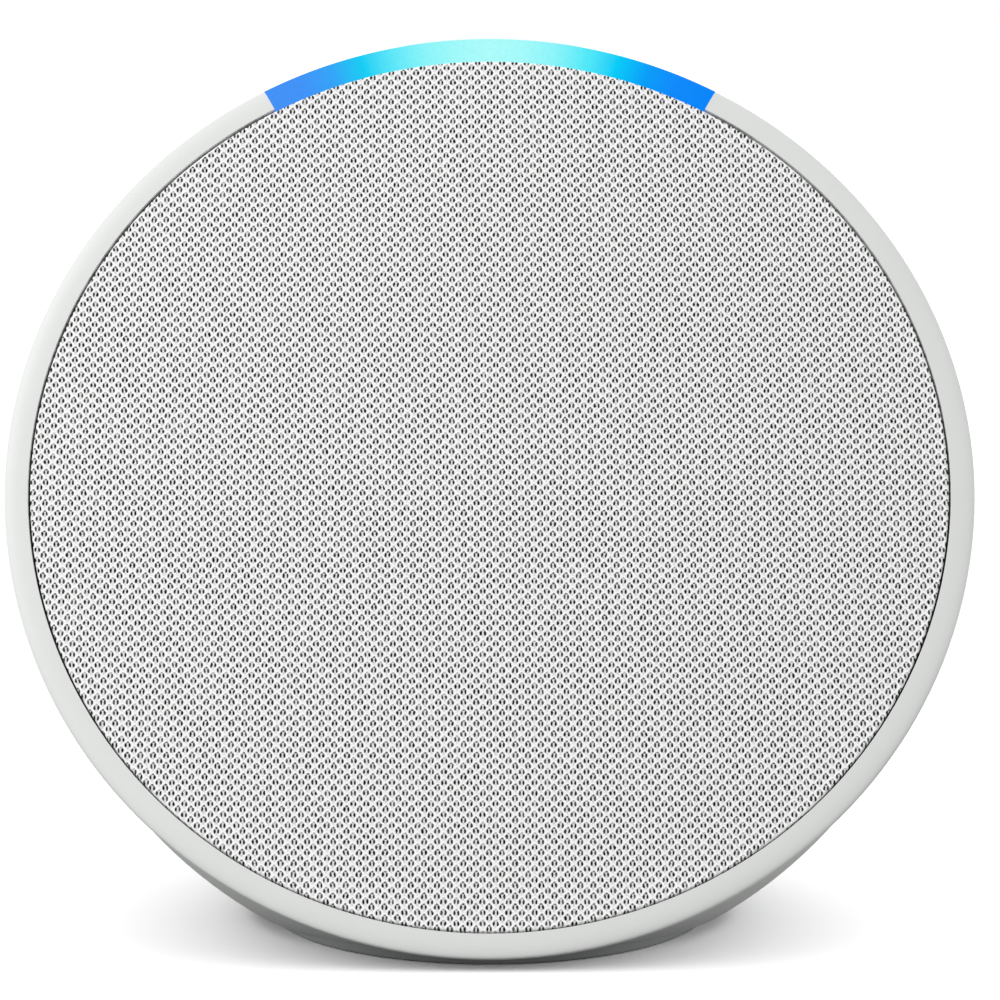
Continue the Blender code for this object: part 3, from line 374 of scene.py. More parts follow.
def wandering(tree, place, scale, amount):
    """The place, moved a little by noise, so that no two loops are quite alike."""
    shift = noise(tree, place, scale, 1.0)
    shift = vector_calc(tree, "SUBTRACT", shift.outputs["Color"], (0.5, 0.5, 0.5))
    return vector_calc(tree, "ADD", place, vector_calc(tree, "MULTIPLY", shift, (amount, amount, 0.0)))


def knit():
    """Off-white yarn in a diamond net of loops, painted near black where the loops are open as painted shade, with
    painted shadow along their arches and painted shade greying the yarn away from its raised strands.
    """
    material, tree, shader = new_material("open_knit")
    place = wandering(tree, wandering(tree, face_millimetres(tree), 0.9, 0.2), 3.0, 0.13)
    half = (PITCH_U / MM / 2, PITCH_V / MM / 2, 1000.0)
    loop_shade_fields = []
    for shift, loop_shade_strengths in (((0.0, 0.0, 0.0), (0.9, 0.65)), ((half[0], half[1], 0.0), (0.45, 0.4))):
        moved = vector_calc(tree, "SUBTRACT", place, shift)
        wrapped = vector_calc(tree, "WRAP", moved, half, tuple(-h for h in half))
        parts = tree.nodes.new("ShaderNodeSeparateXYZ")
        tree.links.new(wrapped, parts.inputs[0])
        loop_shade_fields.append(loop_painted_shade(tree, parts.outputs["X"], parts.outputs["Y"], *loop_shade_strengths))
    # All the loops' painted shade together, a little stronger or weaker at random from place to place
    dark = calc(tree, "MAXIMUM", *loop_shade_fields)
    uneven_shade = noise(tree, place, 2.2, 1.0).outputs["Fac"]
    dark = calc(tree, "MULTIPLY", dark, remap(tree, uneven_shade, 0.3, 0.7, 0.86, 1.08), clamp=True)
    # The net's strands run along the edges of a diamond about each loop. The yarn is painted white along these
    # raised strands and greyer away from them, which is painted shade on the lower yarn; the fibre noise is the
    # yarn's own tone.
    across = calc(tree, "DIVIDE", calc(tree, "ABSOLUTE", parts.outputs["X"]), half[0])
    along = calc(tree, "DIVIDE", calc(tree, "ABSOLUTE", parts.outputs["Y"]), half[1])
    off_strand = calc(tree, "ABSOLUTE", calc(tree, "SUBTRACT", calc(tree, "ADD", across, along), 1.0))
    fibre = noise(tree, place, 11.0, 3.0, 0.65).outputs["Fac"]
    strand = remap(tree, off_strand, 0.1, 0.55, 1.0, 0.35, smooth=True)
    strand = calc(tree, "ADD", strand, remap(tree, fibre, 0.3, 0.7, -0.35, 0.25), clamp=True)
    # Painted shade: light grey yarn away from the strands, white on them, with the fibre's own tone mixed in
    yarn = blend_colours(tree, strand, (0.70, 0.70, 0.695, 1.0), (1.0, 1.0, 1.0, 1.0))
    # Painted shade: the yarn is darkened to near black in the openings, spots and arches
    colour = blend_colours(tree, dark, yarn, (0.010, 0.010, 0.010, 1.0))
    tree.links.new(colour, shader.inputs["Base Color"])
    shader.inputs["Roughness"].default_value = 0.95
    shader.inputs["Specular IOR Level"].default_value = 0.15
    shader.inputs["Sheen Weight"].default_value = 0.05
    height = calc(tree, "SUBTRACT", calc(tree, "MULTIPLY", strand, 0.35), dark)
    bump(tree, shader, height, 0.05 * MM, 0.6)
    return material


# Geometry helpers


def at_azimuth(radius, azimuth, height):
    return Vector((radius * sin(azimuth), radius * cos(azimuth), height))


def skin(sections, closed):
    """Join matching closed outlines into one solid; an open row of them gets end caps."""
    bm = bmesh.new()
    rings = [[bm.verts.new(point) for point in section] for section in sections]
    pairs = list(zip(rings, rings[1:]))
    if closed:
        pairs.append((rings[-1], rings[0]))
    for near, far in pairs:
        for i in range(len(near)):
            j = (i + 1) % len(near)
            bm.faces.new((near[i], near[j], far[j], far[i]))
    if not closed:
        bm.faces.new(rings[0][::-1])
        bm.faces.new(rings[-1])
    return bm


def turned(profile, segments=96):
    """Turn a (radius, height) outline about +Z. It is closed, or starts and ends on the axis."""
    bm = skin(
        [[at_azimuth(r, tau * k / segments, h) for r, h in profile] for k in range(segments)],
        closed=True,
    )
    bmesh.ops.remove_doubles(bm, verts=bm.verts, dist=0.0005 * MM)
    loose = [edge for edge in bm.edges if not edge.link_faces]
    bmesh.ops.delete(bm, geom=loose, context="EDGES")
    return bm


def swept(profile, start, end, steps):
    angles = [start + (end - start) * k / steps for k in range(steps + 1)]
    return skin([[at_azimuth(r, a, h) for r, h in profile] for a in angles], closed=False)


def rod(radius, low, high, segments=64):
    return turned([(0.0, high), (radius, high), (radius, low), (0.0, low)], segments)


def block(size, centre):
    bm = bmesh.new()
    bmesh.ops.create_cube(bm, size=1.0)
    bmesh.ops.scale(bm, vec=Vector(size), verts=bm.verts)
    bmesh.ops.translate(bm, vec=Vector(centre), verts=bm.verts)
    return bm


def arc(centre, radius, start, end, steps):
    """(radius, height) points of a round, between two angles from the outward direction."""
    angles = [start + (end - start) * k / steps for k in range(steps + 1)]
    return [(centre[0] + radius * cos(a), centre[1] + radius * sin(a)) for a in angles]


def add_mesh(name, bm, matrix, smooth_angle=32.0):
    """An object at the world origin whose mesh is already in its place."""
    bm.transform(matrix)
    bmesh.ops.recalc_face_normals(bm, faces=bm.faces)
    mesh = bpy.data.meshes.new(name)
    bm.to_mesh(mesh)
    bm.free()
    mesh.shade_smooth()
    mesh.set_sharp_from_angle(angle=radians(smooth_angle))
    item = bpy.data.objects.new(name, mesh)
    bpy.context.collection.objects.link(item)
    return item


def combine(target, tools, operation):
    """One exact boolean of the target with all the tools, worked in millimetres."""
    group = bpy.data.collections.new("tools")
    for tool in tools:
        group.objects.link(tool)
    for item in (target, *tools):
        item.data.transform(Matrix.Scale(1 / MM, 4))
    modifier = target.modifiers.new("combine", "BOOLEAN")
    modifier.operation = operation
    modifier.operand_type = "COLLECTION"
    modifier.collection = group
    modifier.solver = "EXACT"
    bpy.context.view_layer.update()
    depsgraph = bpy.context.evaluated_depsgraph_get()
    result = bpy.data.meshes.new_from_object(target.evaluated_get(depsgraph))
    target.modifiers.clear()
    result.transform(Matrix.Scale(MM, 4))
    target.data = result
    for tool in tools:
        bpy.data.objects.remove(tool)
    bpy.data.collections.remove(group)


def cut(target, *tools):
    combine(target, tools, "DIFFERENCE")


def cutter(bm, matrix):
    return add_mesh("cutter", bm, matrix)


def smooth(item, angle):
    item.data.shade_smooth()
    item.data.set_sharp_from_angle(angle=radians(angle))


def finish_piece(item, material, body="body", stands_for=()):
    item.data.materials.clear()
    item.data.materials.append(material)
    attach(item, body)
    if stands_for:
        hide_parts(*stands_for)
    return item


def dome_point(angle, inset=0.0):
    """(radius, height) on the dome at an angle from the rim (0) to the pole (90 degrees)."""
    return (
        (RIM_RADIUS - inset) * cos(angle),
        -EDGE_ROUND - (DOME_LENGTH - inset) * sin(angle),
    )


def behind_lip(point):
    """A point of the dome's outer surface, drawn in behind the rim, which overhangs it."""
    radius, height = point
    t = (-height - LIP_DEPTH) / (LIP_BLEND - LIP_DEPTH)
    t = max(0.0, min(1.0, t))
    return (radius - LIP_STEP * (1 - t * t * (3 - 2 * t)), height)


def lip_side():
    """The rim's outer side, its lower edge and the step behind it, where the dome begins."""
    radius = dome_point(dome_angle(LIP_DEPTH))[0]
    soft = 0.15 * MM
    under = arc((radius - soft, soft - LIP_DEPTH), soft, 0.0, -pi / 2, 4)
    return under + [(radius - LIP_STEP - 0.05 * MM, -LIP_DEPTH)]


def dome_angle(depth, inset=0.0):
    return asin((depth - EDGE_ROUND) / (DOME_LENGTH - inset))


def dome_normal_matrix(azimuth):
    """A frame on the dome's surface at the key row, with +Z along the outward normal."""
    angle = dome_angle(KEY_DEPTH)
    radius, height = dome_point(angle)
    outward = Vector((cos(angle) / RIM_RADIUS, -sin(angle) / DOME_LENGTH)).normalized()
    normal = at_azimuth(outward.x, azimuth, outward.y)
    side = Vector((cos(azimuth), -sin(azimuth), 0.0))
    columns = Matrix((side, normal.cross(side), normal)).transposed().to_4x4()
    return FACE @ Matrix.Translation(at_azimuth(radius, azimuth, height)) @ columns


def inlet_matrix():
    """A frame on the inlet's axis: +Z is the world's +Y and heights are world y values."""
    return Matrix.Translation((0.0, 0.0, INLET_Z)) @ Matrix.Rotation(-pi / 2, 4, "X")


# Shell


def rim_corner(steps=20):
    """The rim's front, a soft swell that turns over into the dome."""
    start = RIM_INNER + 0.25 * MM
    points = []
    for k in range(1, steps + 1):
        across = sin(pi / 2 * k / steps) ** 0.7
        fall = 1 - (1 - min(1.0, across) ** RIM_POWER) ** (1 / RIM_POWER)
        points.append((start + (RIM_RADIUS - start) * across, -EDGE_ROUND * fall))
    return points


def shell_cavity(segments):
    first = dome_angle(LEDGE_BACK, WALL)
    rings = 24
    wall = [dome_point(first + (pi / 2 - first) * k / rings, WALL) for k in range(rings + 1)]
    wall[-1] = (0.0, wall[-1][1])
    cavity = add_mesh("cavity", turned([(0.0, -LEDGE_BACK)] + wall, segments), FACE)
    deep = 20.0 * MM
    under_floor = cutter(block((0.2, 0.2, deep), (0.0, 0.0, FLOOR_TOP - deep / 2)), WORLD)
    boss = cutter(rod(INLET_BOSS_RADIUS, INLET_BOSS_START, 0.1), inlet_matrix())
    cut(cavity, under_floor, boss)
    return cavity


def make_shell(material):
    segments, rings = 192, 56
    first = dome_angle(LIP_DEPTH + 0.15 * MM)
    angles = [first + (pi / 2 - first) * k / rings for k in range(rings + 1)]
    side = lip_side() + [behind_lip(dome_point(angle)) for angle in angles]
    side[-1] = (0.0, side[-1][1])
    lip = 0.04 * MM
    well = -LEDGE_BACK - 0.8 * MM
    front = [(0.0, well), (LEDGE_RADIUS, well), (LEDGE_RADIUS, -RECESS_DEPTH)]
    front += [(RIM_INNER, -RECESS_DEPTH), (RIM_INNER, -lip), (RIM_INNER + lip, 0.0)]
    shell = add_mesh("shell", turned(front + rim_corner() + side, segments), FACE)
    deep = 30.0 * MM
    tools = [
        shell_cavity(96),
        cutter(block((0.2, 0.2, deep), (0.0, 0.0, BASE_Z - deep / 2)), WORLD),
        cutter(bar_notch(), FACE),
        cutter(rod(INLET_RECESS_RADIUS, INLET_SEAT_Y, 0.1), inlet_matrix()),
        cutter(rod(JACK_HOLE_RADIUS, INLET_BOSS_START - MM, INLET_SEAT_Y + MM), inlet_matrix()),
    ]
    for azimuth in KEYS.values():
        hole = rod(KEY_RADIUS + 0.15 * MM, -5.0 * MM, 5.0 * MM, 96)
        tools.append(cutter(hole, dome_normal_matrix(azimuth)))
    for azimuth in MICROPHONES:
        hole = rod(MICROPHONE_HOLE, -5.0 * MM, 5.0 * MM, 32)
        tools.append(cutter(hole, dome_normal_matrix(azimuth)))
    gap = 0.15 * MM
    for low, high in (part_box("rubber_foot"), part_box("base_plate")):
        half_x, half_y = high.x + gap, (high.y - low.y) / 2 + gap
        tools.append(cutter(oval(half_x, half_y, -10.0 * MM, high.z + gap), WORLD))
    cut(shell, *tools)
    smooth(shell, 28.0)
    return finish_piece(shell, material, stands_for=["housing"])


def bar_notch():
    half = BAR_HALF_ANGLE + 0.04 * MM / RIM_RADIUS
    inside, outside = 44.5 * MM, RIM_RADIUS + 2.0 * MM
    profile = [(inside, MM), (outside, MM), (outside, -BAR_BACK - 0.06 * MM)]
    profile += [(46.9 * MM, -BAR_BACK - 0.06 * MM), (46.9 * MM, -6.0 * MM), (inside, -6.0 * MM)]
    return swept(profile, -half, half, 64)


def oval(half_x, half_y, low, high, segments=128):
    bm = rod(1.0, low, high, segments)
    bmesh.ops.scale(bm, vec=Vector((half_x, half_y, 1.0)), verts=bm.verts)
    bmesh.ops.translate(bm, vec=Vector((0.0, BASE_CENTRE_Y, 0.0)), verts=bm.verts)
    return bm


# Light bar


def make_light_bar():
    first, last = dome_angle(LIP_DEPTH + 0.15 * MM), dome_angle(BAR_BACK)
    over = lip_side() + [behind_lip(dome_point(first + (last - first) * k / 4)) for k in range(5)]
    profile = [(RIM_INNER - 0.05 * MM, -0.05 * MM), (RIM_INNER + 0.03 * MM, 0.0)] + rim_corner() + over
    leg_in, leg_out = BAR_LEG
    profile += [(leg_out, -BAR_BACK), (leg_out, -BAR_LEG_END), (leg_in, -BAR_LEG_END)]
    profile += [(leg_in, -BAR_LEG_TOP), (RIM_INNER - 0.05 * MM, -BAR_LEG_TOP)]
    bar = add_mesh("lit_bar", swept(profile, -BAR_HALF_ANGLE, BAR_HALF_ANGLE, 96), FACE)
    return finish_piece(bar, lit_lens(), stands_for=["light_bar"])


# Cloth

STEPS_U, STEPS_V = 6, 4
CLOTH_TOP = -0.12 * MM
CLOTH_RELIEF = 0.13 * MM
CLOTH_GAP = 0.2 * MM
CLOTH_EDGE_ROUND = 0.2 * MM
CLOTH_SKIRT_END = 3.6 * MM
LOOP_PITS = {
    (5, 0): 1.0,
    (1, 0): 1.0,
    (0, 0): 0.2,
    (0, 1): 0.75,
    (0, 3): 0.15,
    (2, 2): 1.0,
    (4, 2): 1.0,
    (3, 2): 0.2,
    (3, 3): 0.45,
    (3, 1): 0.15,
}


def make_cloth():
    """A knit disc: one vertex in each opening of each loop, pulled over the edge of the plate."""
    du, dv = PITCH_U / STEPS_U, PITCH_V / STEPS_V
    outer_radius = RIM_INNER - CLOTH_GAP
    flat_radius = outer_radius - CLOTH_EDGE_ROUND
    ni, nj = int(flat_radius / du) + 2, int(flat_radius / dv) + 2
    i, j = np.meshgrid(np.arange(-ni, ni + 1), np.arange(-nj, nj + 1), indexing="ij")
    u, v = i * du, j * dv
    radius = np.hypot(u, v)
    inside = radius < flat_radius
    pits = np.zeros(i.shape)
    for (pit_i, pit_j), depth in LOOP_PITS.items():
        pits[(i % STEPS_U == pit_i) & (j % STEPS_V == pit_j)] = depth
    near_edge = np.clip((flat_radius - radius) / (0.5 * MM), 0.0, 1.0)
    height = CLOTH_TOP - CLOTH_RELIEF * pits * near_edge
    outward = np.where(inside, 1.0, flat_radius / np.maximum(radius, MM))
    points = np.stack([u * outward, v * outward, np.where(inside, height, CLOTH_TOP)], axis=-1)
    keep = inside[:-1, :-1] | inside[1:, :-1] | inside[:-1, 1:] | inside[1:, 1:]
    index = np.arange(i.size).reshape(i.shape)
    quads = np.stack([index[:-1, :-1], index[1:, :-1], index[1:, 1:], index[:-1, 1:]], axis=-1)[keep]
    used, quads = np.unique(quads, return_inverse=True)
    mesh = bpy.data.meshes.new("knit_cloth")
    mesh.from_pydata(points.reshape(-1, 3)[used].tolist(), [], quads.reshape(-1, 4).tolist())
    bm = bmesh.new()
    bm.from_mesh(mesh)
    bpy.data.meshes.remove(mesh)
    bmesh.ops.remove_doubles(bm, verts=bm.verts, dist=0.02 * MM)
    edge_round = outer_radius - flat_radius
    turn_down = arc((flat_radius, CLOTH_TOP - edge_round), edge_round, pi / 2, 0.0, 4)[1:]
    turn_down += [(outer_radius, -2.0 * MM), (outer_radius, -CLOTH_SKIRT_END)]
    turn_down.append((CLOTH_RADIUS - 0.4 * MM, -CLOTH_SKIRT_END))
    for ring_radius, ring_height in turn_down:
        border = [edge for edge in bm.edges if edge.is_boundary]
        grown = bmesh.ops.extrude_edge_only(bm, edges=border)["geom"]
        for vertex in (g for g in grown if isinstance(g, bmesh.types.BMVert)):
            flat = Vector((vertex.co.x, vertex.co.y)).normalized() * ring_radius
            vertex.co = (flat.x, flat.y, ring_height)
    cloth = add_mesh("knit_cloth", bm, FACE, 180.0)
    finish_piece(cloth, knit(), stands_for=["grille_cloth"])


# Keys

MARK_LOW, MARK_HIGH = -0.3 * MM, 0.07 * MM
MARK_LENGTH, MARK_WIDTH = 3.6 * MM, 0.5 * MM
KEY_FLANGE_RADIUS = 5.3 * MM
KEY_FLANGE = (2.95 * MM, 3.7 * MM)
KEY_STEM_RADIUS = 1.0 * MM
KEY_STEM_END = 4.6 * MM


def key_profile():
    """A crowned top with a rounded edge, a barrel, a flange behind the wall and a stem."""
    soft = 0.35 * MM
    flat = KEY_RADIUS - soft
    sag = flat**2 / (2 * RIM_RADIUS)
    crown = [(flat * k / 6, -((flat * k / 6) ** 2) / (2 * RIM_RADIUS)) for k in range(7)]
    return (
        crown
        + arc((flat, -sag - soft), soft, radians(85.0), 0.0, 5)
        + [
            (KEY_RADIUS, -KEY_FLANGE[0]),
            (KEY_FLANGE_RADIUS, -KEY_FLANGE[0]),
            (KEY_FLANGE_RADIUS, -KEY_FLANGE[1]),
            (KEY_STEM_RADIUS, -KEY_FLANGE[1]),
            (KEY_STEM_RADIUS, -KEY_STEM_END),
            (0.0, -KEY_STEM_END),
        ]
    )


def prism(outline, low, high):
    """An upright prism with its top edge softened."""
    bm = skin([[Vector((x, y, z)) for x, y in outline] for z in (low, high)], closed=False)
    top = [edge for edge in bm.edges if all(vertex.co.z > (low + high) / 2 for vertex in edge.verts)]
    bmesh.ops.bevel(bm, geom=top, offset=0.05 * MM, segments=2, profile=0.5, affect="EDGES")
    return bm


def bar_outline(length, width, turn=0.0, centre=(0.0, 0.0)):
    """A bar with round ends."""
    outline = []
    half, radius = (length - width) / 2, width / 2
    for end, first in ((1, -pi / 2), (-1, pi / 2)):
        for k in range(9):
            angle = first + pi * k / 8
            outline.append((end * half + radius * cos(angle), radius * sin(angle)))
    return [
        (centre[0] + x * cos(turn) - y * sin(turn), centre[1] + x * sin(turn) + y * cos(turn))
        for x, y in outline
    ]


def plus_outline(length, width):
    long, short = length / 2, width / 2
    quarter = [(short, long), (short, short), (long, short)]
    corners = []
    for k in range(4):
        c, d = cos(-k * pi / 2), sin(-k * pi / 2)
        corners += [(x * c - y * d, x * d + y * c) for x, y in quarter]
    return corners


def arc_outline(radius, width, start, end, steps=16):
    angles = [start + (end - start) * k / steps for k in range(steps + 1)]
    outer = [((radius + width / 2) * cos(a), (radius + width / 2) * sin(a)) for a in angles]
    inner = [((radius - width / 2) * cos(a), (radius - width / 2) * sin(a)) for a in reversed(angles)]
    return outer + inner


def microphone_outlines():
    """A capsule in a cradle on a stand, with a stroke through it."""
    thin = 0.36 * MM
    up = 0.5 * MM
    cradle = [(x, y + up) for x, y in arc_outline(1.2 * MM, thin, -pi, 0.0)]
    return [
        bar_outline(2.5 * MM, 1.2 * MM, pi / 2, (0.0, up + 0.5 * MM)),
        cradle,
        bar_outline(0.9 * MM, thin, pi / 2, (0.0, up - 1.5 * MM)),
        bar_outline(1.6 * MM, thin, 0.0, (0.0, up - 2.0 * MM)),
        bar_outline(5.0 * MM, thin, radians(-48.0)),
    ]


def make_keys():
    plastic = moulded("key_plastic", linear(214, 216, 214), 0.38)
    paint = moulded("mark_paint", linear(112, 114, 114), 0.5)
    marks = {
        "microphone_off": microphone_outlines(),
        "volume_down": [bar_outline(MARK_LENGTH, MARK_WIDTH)],
        "volume_up": [plus_outline(MARK_LENGTH, MARK_WIDTH)],
    }
    for name, azimuth in KEYS.items():
        place = dome_normal_matrix(azimuth)
        body = f"{name}_key"
        cap = add_mesh(f"{name}_cap", turned(key_profile(), 96), place)
        finish_piece(cap, plastic, body, [f"key_{name}"])
        joined = bmesh.new()
        for k, outline in enumerate(marks[name]):
            part = prism(outline, MARK_LOW, MARK_HIGH + k * 0.004 * MM)
            mesh = bpy.data.meshes.new("part")
            part.to_mesh(mesh)
            part.free()
            joined.from_mesh(mesh)
            bpy.data.meshes.remove(mesh)
        finish_piece(add_mesh(f"{name}_mark", joined, place), paint, body)


# Base

FOOT_WIDTH = 6.0 * MM
BASE_SCREW_SPREAD = (14.5 * MM, 19.8 * MM)
BASE_SCREW_SEAT = 1.7 * MM
BASE_BORDER = 4.6 * MM
BASE_FIELD_DEPTH = 0.5 * MM
RIB_PITCH = 3.6 * MM
RIB_SIZE = (14.0 * MM, 0.6 * MM, 1.2 * MM)


def oval_turned(profile, outer, segments=128):
    """Turn an outline about the base centre, stretched from a circle to the oval of the outer size."""
    bm = turned(profile, segments)
    for vertex in bm.verts:
        radius = vertex.co.xy.length
        if radius > 0:
            x, y = vertex.co.x / radius, vertex.co.y / radius
            inset = outer[0] - radius
            vertex.co.x = x * (outer[0] - inset)
            vertex.co.y = y * (outer[1] - inset)
    bmesh.ops.translate(bm, vec=Vector((0.0, BASE_CENTRE_Y, 0.0)), verts=bm.verts)
    return bm


def make_foot():
    """A soft oval ring with rounded edges and two grooves in the face it stands on."""
    low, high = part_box("rubber_foot")
    outer = (high.x, (high.y - low.y) / 2)
    wide, top, soft = FOOT_WIDTH, high.z, 0.35 * MM
    outside, inside = outer[0], outer[0] - wide
    profile = [(inside, top), (outside, top)]
    profile += arc((outside - soft, soft), soft, 0.0, -pi / 2, 5)
    for middle in (outside - wide / 3, outside - 2 * wide / 3):
        half, bed, deep = 0.35 * MM, 0.25 * MM, 0.3 * MM
        profile += [(middle + half, 0.0), (middle + bed, deep)]
        profile += [(middle - bed, deep), (middle - half, 0.0)]
    profile += arc((inside + soft, soft), soft, -pi / 2, -pi, 5)
    ring = add_mesh("foot_ring", oval_turned(profile, outer), WORLD)
    rubber = moulded("foot_rubber", linear(150, 152, 152), 0.8, 0.02 * MM, 6000.0, 0.06, 0.3)
    finish_piece(ring, rubber, stands_for=["rubber_foot"])


def base_screw_places():
    wide, long = BASE_SCREW_SPREAD
    angles = [tau * k / 3 for k in range(3)]
    return [(wide * sin(a), BASE_CENTRE_Y + long * cos(a)) for a in angles]


def make_base(plastic):
    """The plate inside the foot: a raised border, a sunk field with ribs, three screws."""
    low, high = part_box("base_plate")
    outer = (high.x, (high.y - low.y) / 2)
    soft = 0.3 * MM
    field, bed = outer[0] - BASE_BORDER, low.z + BASE_FIELD_DEPTH
    profile = [(0.0, high.z), (outer[0], high.z)]
    profile += arc((outer[0] - soft, low.z + soft), soft, 0.0, -pi / 2, 4)
    profile += [(field + 0.3 * MM, low.z), (field, bed), (0.0, bed)]
    bm = turned(profile, 128)
    for vertex in bm.verts:
        radius = vertex.co.xy.length
        if radius > 0:
            stretch = (outer[1] - outer[0]) * min(1.0, radius / field)
            vertex.co.y += vertex.co.y / radius * stretch
    bmesh.ops.translate(bm, vec=Vector((0.0, BASE_CENTRE_Y, 0.0)), verts=bm.verts)
    plate = add_mesh("underside_plate", bm, WORLD)
    ribs = []
    for k in range(-3, 4):
        centre = (0.0, BASE_CENTRE_Y + k * RIB_PITCH, low.z + 0.75 * MM)
        ribs.append(cutter(block(RIB_SIZE, centre), WORLD))
    combine(plate, ribs, "UNION")
    holes = []
    for x, y in base_screw_places():
        stepped = [
            (0.0, 5.0 * MM),
            (1.15 * MM, 5.0 * MM),
            (1.15 * MM, 2.0 * MM),
            (2.1 * MM, 2.0 * MM),
            (2.1 * MM, 1.15 * MM),
            (2.4 * MM, 0.0),
            (0.0, 0.0),
        ]
        holes.append(cutter(turned(stepped, 48), Matrix.Translation((x, y, 0.0))))
    cut(plate, *holes)
    smooth(plate, 30.0)
    finish_piece(plate, plastic, stands_for=["base_plate"])
    steel = metal("screw_steel", (0.55, 0.55, 0.54, 1.0), 0.3)
    for k, (x, y) in enumerate(base_screw_places(), start=1):
        place = Matrix.Translation((x, y, BASE_SCREW_SEAT)) @ Matrix.Rotation(pi, 4, "X")
        screw = add_mesh(f"plate_screw_{k}", turned(screw_profile(), 48), place)
        cut(screw, cutter(drive_recess(), place))
        smooth(screw, 30.0)
        finish_piece(screw, steel, stands_for=[f"base_screw_{k}"])


def screw_profile():
    """A pan head above z = 0 and a shank with thread grooves below it."""
    head, height, shank, length = 1.8 * MM, 0.65 * MM, 0.85 * MM, 3.0 * MM
    profile = [(0.0, height), (0.55 * head, height)]
    profile += arc((head - 0.35 * MM, height - 0.38 * MM), 0.35 * MM, radians(75.0), 0.0, 5)
    profile += [(head, 0.0), (shank, 0.0)]
    pitch = 0.4 * MM
    for k in range(int(length / pitch)):
        top = -0.2 * MM - k * pitch
        profile += [(shank, top), (shank - 0.18 * MM, top - pitch / 2)]
    profile += [(shank - 0.1 * MM, -length), (0.0, -length - 0.4 * MM)]
    return profile


def drive_recess():
    """A six-lobed drive."""
    points = []
    for k in range(48):
        angle = tau * k / 48
        radius = (0.78 + 0.14 * cos(6 * angle)) * MM
        points.append((radius * cos(angle), radius * sin(angle)))
    return skin([[Vector((x, y, z)) for x, y in points] for z in (0.25 * MM, 1.5 * MM)], closed=False)


# Power inlet

JACK_NOSE_RADIUS = 4.0 * MM
JACK_BORE = 2.9 * MM
JACK_BORE_DEPTH = 9.0 * MM
JACK_PIN_RADIUS = 1.0 * MM


def make_jack(dark, steel):
    """A socket with a rounded nose, a stepped mouth and a split centre pin."""
    place = inlet_matrix()
    low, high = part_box("power_jack")
    nose_radius, bore, start = JACK_NOSE_RADIUS, JACK_BORE, INLET_BOSS_START - 0.3 * MM
    centre = (0.0, 0.0, (low.y + start) / 2)
    body = block((high.x - low.x, high.z - low.z, start - low.y), centre)
    edges = list(body.edges)
    bmesh.ops.bevel(body, geom=edges, offset=0.3 * MM, segments=2, profile=0.5, affect="EDGES")
    jack = add_mesh("jack_socket", body, place)
    soft = 0.3 * MM
    nose = [(0.0, start - MM), (nose_radius, start - MM)]
    nose += arc((nose_radius - soft, high.y - soft), soft, 0.0, pi / 2, 5) + [(0.0, high.y)]
    combine(jack, [cutter(turned(nose, 96), place)], "UNION")
    depth = high.y - JACK_BORE_DEPTH
    mouth = [(0.0, high.y + MM), (bore + 0.35 * MM + MM, high.y + MM), (bore, high.y - 0.35 * MM)]
    cut(jack, cutter(turned(mouth + [(bore, depth), (0.0, depth)], 96), place))
    smooth(jack, 30.0)
    finish_piece(jack, dark, stands_for=["power_jack"])
    pin_radius, tip = JACK_PIN_RADIUS, high.y - MM
    profile = [(0.0, depth + 0.1 * MM), (pin_radius, depth + 0.1 * MM)]
    profile += arc((pin_radius - 0.5 * MM, tip - 0.5 * MM), 0.5 * MM, 0.0, pi / 2, 5) + [(0.0, tip)]
    pin = add_mesh("jack_centre_pin", turned(profile, 48), place)
    slot = block((0.3 * MM, 4.0 * MM, 5.0 * MM), (0.0, 0.0, tip))
    cut(pin, cutter(slot, place))
    smooth(pin, 30.0)
    finish_piece(pin, steel, stands_for=["power_jack_pin"])


# Loudspeaker


def strip(points, thickness):
    """A closed outline of a thin ring section: the points, then the same points lower down."""
    return points + [(radius, height - thickness) for radius, height in reversed(points)]


def add_turned(name, profile, material, body, node):
    item = add_mesh(name, turned(profile, 128), FACE, 40.0)
    return finish_piece(item, material, body, [node])


# (radius, height) in millimetres, from the coil out to the basket
SPIDER_WAVES = (
    [(7.2, -16.8), (7.7, -16.95), (8.3, -16.75), (8.8, -16.2), (9.2, -15.85), (9.7, -16.2), (10.2, -16.6)]
    + [(10.7, -16.2), (11.2, -15.8), (11.7, -16.2), (12.2, -16.6), (12.7, -16.3), (13.2, -16.2)]
    + [(15.0, -16.2)]
)


